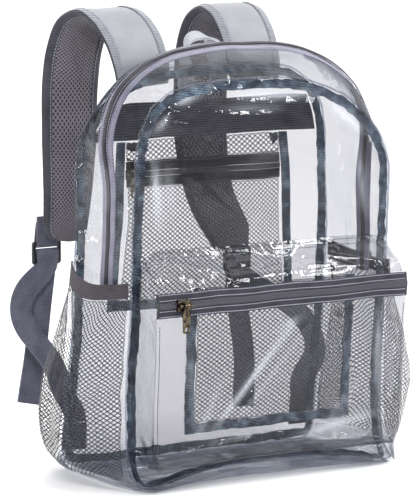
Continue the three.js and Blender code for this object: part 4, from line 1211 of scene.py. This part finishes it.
def on_strap(shape, u, v, height):
    """A point on the strap: u across, v along, height above (+) or below (-) its middle, as a share of its half."""
    fine, sizes = shape
    at = v * (len(fine) - 1)
    k = min(int(at), len(fine) - 2)
    point = fine[k].lerp(fine[k + 1], at - k)
    run = (fine[k + 1] - fine[k]).normalized()
    aside = (Vector((1, 0, 0)) - run * run.x).normalized()
    up = aside.cross(run).normalized()
    wide = sizes[k][0] * strap_wide
    if v > 0.93:
        wide *= 0.3 + 0.7 * math.sqrt(1 - ((v - 0.93) / 0.07) ** 2)
    pad = edge_thick + max(pad_thick * sizes[k][1] - edge_thick, 0) * (1 - abs(2 * u - 1) ** 4)
    return point + aside * (u - 0.5) * wide + up * height * pad / 2, up


def slab(name, across, along):
    bpy.ops.object.select_all(action="DESELECT")
    bpy.ops.mesh.primitive_grid_add(x_subdivisions=across, y_subdivisions=along, size=1)
    piece = bpy.context.active_object
    piece.name = name
    bpy.ops.object.mode_set(mode="EDIT")
    bpy.ops.mesh.select_all(action="SELECT")
    bpy.ops.mesh.extrude_region_move(TRANSFORM_OT_translate={"value": (0, 0, 1)})
    bpy.ops.mesh.select_all(action="SELECT")
    bpy.ops.mesh.normals_make_consistent(inside=False)
    bpy.ops.object.mode_set(mode="OBJECT")
    return piece


def swell(piece, held, pressure=4.0, frames=20, most=3.0 * mm):
    """Cloth simulation with air pressure; held vertices stay, and no vertex moves further than most."""
    start = [v.co.copy() for v in piece.data.vertices]
    group = piece.vertex_groups.new(name="held")
    group.add(held, 1.0, "REPLACE")
    cloth = piece.modifiers.new("swell", "CLOTH")
    settings = cloth.settings
    settings.vertex_group_mass = "held"
    settings.use_pressure = True
    settings.uniform_pressure_force = pressure
    settings.effector_weights.gravity = 0
    settings.quality = 6
    settings.mass = 0.3
    settings.bending_stiffness = 1.5
    for number in range(1, frames + 1):
        bpy.context.scene.frame_set(number)
    select_only(piece)
    bpy.ops.object.modifier_apply(modifier=cloth.name)
    bpy.context.scene.frame_set(1)
    for vertex, first in zip(piece.data.vertices, start):
        move = vertex.co - first
        if move.length > most:
            vertex.co = first + move.normalized() * most
    piece.vertex_groups.clear()


for name in strap_facts:
    shape = strap_shape(name)
    pad = slab("strap_pad_" + name, 14, 84)
    # Outer cloth on top, air mesh below, and on the sides the binding tape painted slate as shade.
    for cloth in (silver_nylon, air_mesh, binding_painted_shade):
        pad.data.materials.append(cloth)
    for face in pad.data.polygons:
        face.material_index = 0 if face.normal.z > 0.5 else 1 if face.normal.z < -0.5 else 2
    held = []
    for vertex in pad.data.vertices:
        u, v, top = vertex.co.x + 0.5, vertex.co.y + 0.5, vertex.co.z > 0.5
        if min(u, 1 - u) < 0.11 or v < 0.06 or v > 0.97:
            held.append(vertex.index)
        vertex.co = on_strap(shape, u, v, 1 if top else -1)[0]
    swell(pad, held)
    smooth = pad.modifiers.new("round", "SUBSURF")
    smooth.levels = smooth.render_levels = 1
    select_only(pad)
    bpy.ops.object.modifier_apply(modifier=smooth.name)
    bpy.ops.object.shade_smooth_by_angle(angle=math.radians(50))
    finish(pad, None, ["strap_" + name])
    print(pad.name, len(pad.data.polygons), "faces")

# %% [markdown]
# A grosgrain tape is folded over each long edge of the strap and stitched through both cloths. It is a strip ten
# faces wide: four on the outside, two round the edge and four on the lining, where the same grey tape is painted slate
# as shade.

# %% Strap bindings
tape_share = 0.125
tape_proud = 0.5 * mm


def folded_edge(shape, side, s, v):
    """Across the tape from the outer cloth (s = 0) round the edge to the lining (s = 1)."""
    if s < 0.4:
        u, height, out = tape_share * (1 - s / 0.4), 1, 0.0
    elif s > 0.6:
        u, height, out = tape_share * (s - 0.6) / 0.4, -1, 0.0
    else:
        u, height, out = 0.0, math.cos(math.pi * (s - 0.4) / 0.2), math.sin(math.pi * (s - 0.4) / 0.2)
    point, up = on_strap(shape, u if side < 0 else 1 - u, v, height)
    point += up * height * tape_proud
    return point + Vector((side * (out * 0.9 * mm + (tape_proud if out else 0)), 0, 0))


for name in strap_facts:
    shape = strap_shape(name)
    for edge_name, side in (("outer" if name == "left" else "inner", -1), ("inner" if name == "left" else "outer", 1)):
        bpy.ops.object.select_all(action="DESELECT")
        bpy.ops.mesh.primitive_grid_add(x_subdivisions=10, y_subdivisions=110, size=1)
        tape = bpy.context.active_object
        tape.name = f"strap_binding_{name}_{edge_name}"
        tape.data.materials.append(strap_binding)
        tape.data.materials.append(binding_painted_shade)
        for face in tape.data.polygons:
            face.material_index = int(face.center.x > -0.1)
        for vertex in tape.data.vertices:
            vertex.co = folded_edge(shape, side, vertex.co.x + 0.5, 0.03 + 0.96 * (vertex.co.y + 0.5))
        select_only(tape)
        bpy.ops.object.mode_set(mode="EDIT")
        bpy.ops.mesh.select_all(action="SELECT")
        bpy.ops.mesh.normals_make_consistent(inside=False)
        bpy.ops.object.mode_set(mode="OBJECT")
        thick = tape.modifiers.new("thickness", "SOLIDIFY")
        thick.thickness = 0.4 * mm
        thick.offset = 0
        bpy.ops.object.modifier_apply(modifier=thick.name)
        bpy.ops.object.shade_smooth_by_angle(angle=math.radians(50))
        finish(tape, None)
    lines = []
    for u in (0.1, 0.9):
        for height in (1, -1):
            spots = [on_strap(shape, u, 0.035 + 0.94 * k / 120, height) for k in range(121)]
            lines.append(([p + up * height * (tape_proud + 0.2 * mm) for p, up in spots], [up * height for p, up in spots]))
    stitch_rows("strap_stitches_" + name, lines, seam_thread)

# %% [markdown]
# Webbing and its buckles. The webbing is flat and limp, so its CAD solids already have the right run, and only need
# rounding and a weave. The two-bar slides are moulded acetal, copied from CAD with their corners rounded by a bevel.
# The zinc sliders and pulls get the same treatment with a finer bevel.

# %% Webbing, handle, buckles and metal
def rounded_copy(node, material, wide, segments, body="bag"):
    piece = copy_of(node, 0, 40)
    bevel = piece.modifiers.new("rounded", "BEVEL")
    bevel.width = wide
    bevel.segments = segments
    bevel.limit_method = "ANGLE"
    bevel.angle_limit = math.radians(35)
    select_only(piece)
    bpy.ops.object.modifier_apply(modifier=bevel.name)
    bpy.ops.object.shade_smooth_by_angle(angle=math.radians(35))
    return finish(piece, material, [node], body=body)


for name in ("left", "right"):
    for part, long in (("webbing", 0.33), ("loop", 0.1)):
        node = f"strap_{part}_{name}"
        strip = finish(copy_of(node, 2), grey_webbing, [node])
    rounded_copy("strap_buckle_" + name, acetal, 0.7 * mm, 3)
handle = finish(copy_of("top_handle", 2), pale_webbing, ["top_handle"])
for node, body in (
    ("pocket_slider", "bag"),
    ("organiser_slider", "bag"),
    ("main_zip_slider", "bag"),
    ("pocket_pull", "pocket_pull"),
    ("organiser_pull", "organiser_pull"),
):
    rounded_copy(node, antique_brass, 0.28 * mm, 2, body)
print("webbing, buckles and metal dressed")

# %% [markdown]
# Last, the CAD box of every sheet of film is read.

for piece in film_pieces:
    low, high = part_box(piece.name.removesuffix("_skin"))
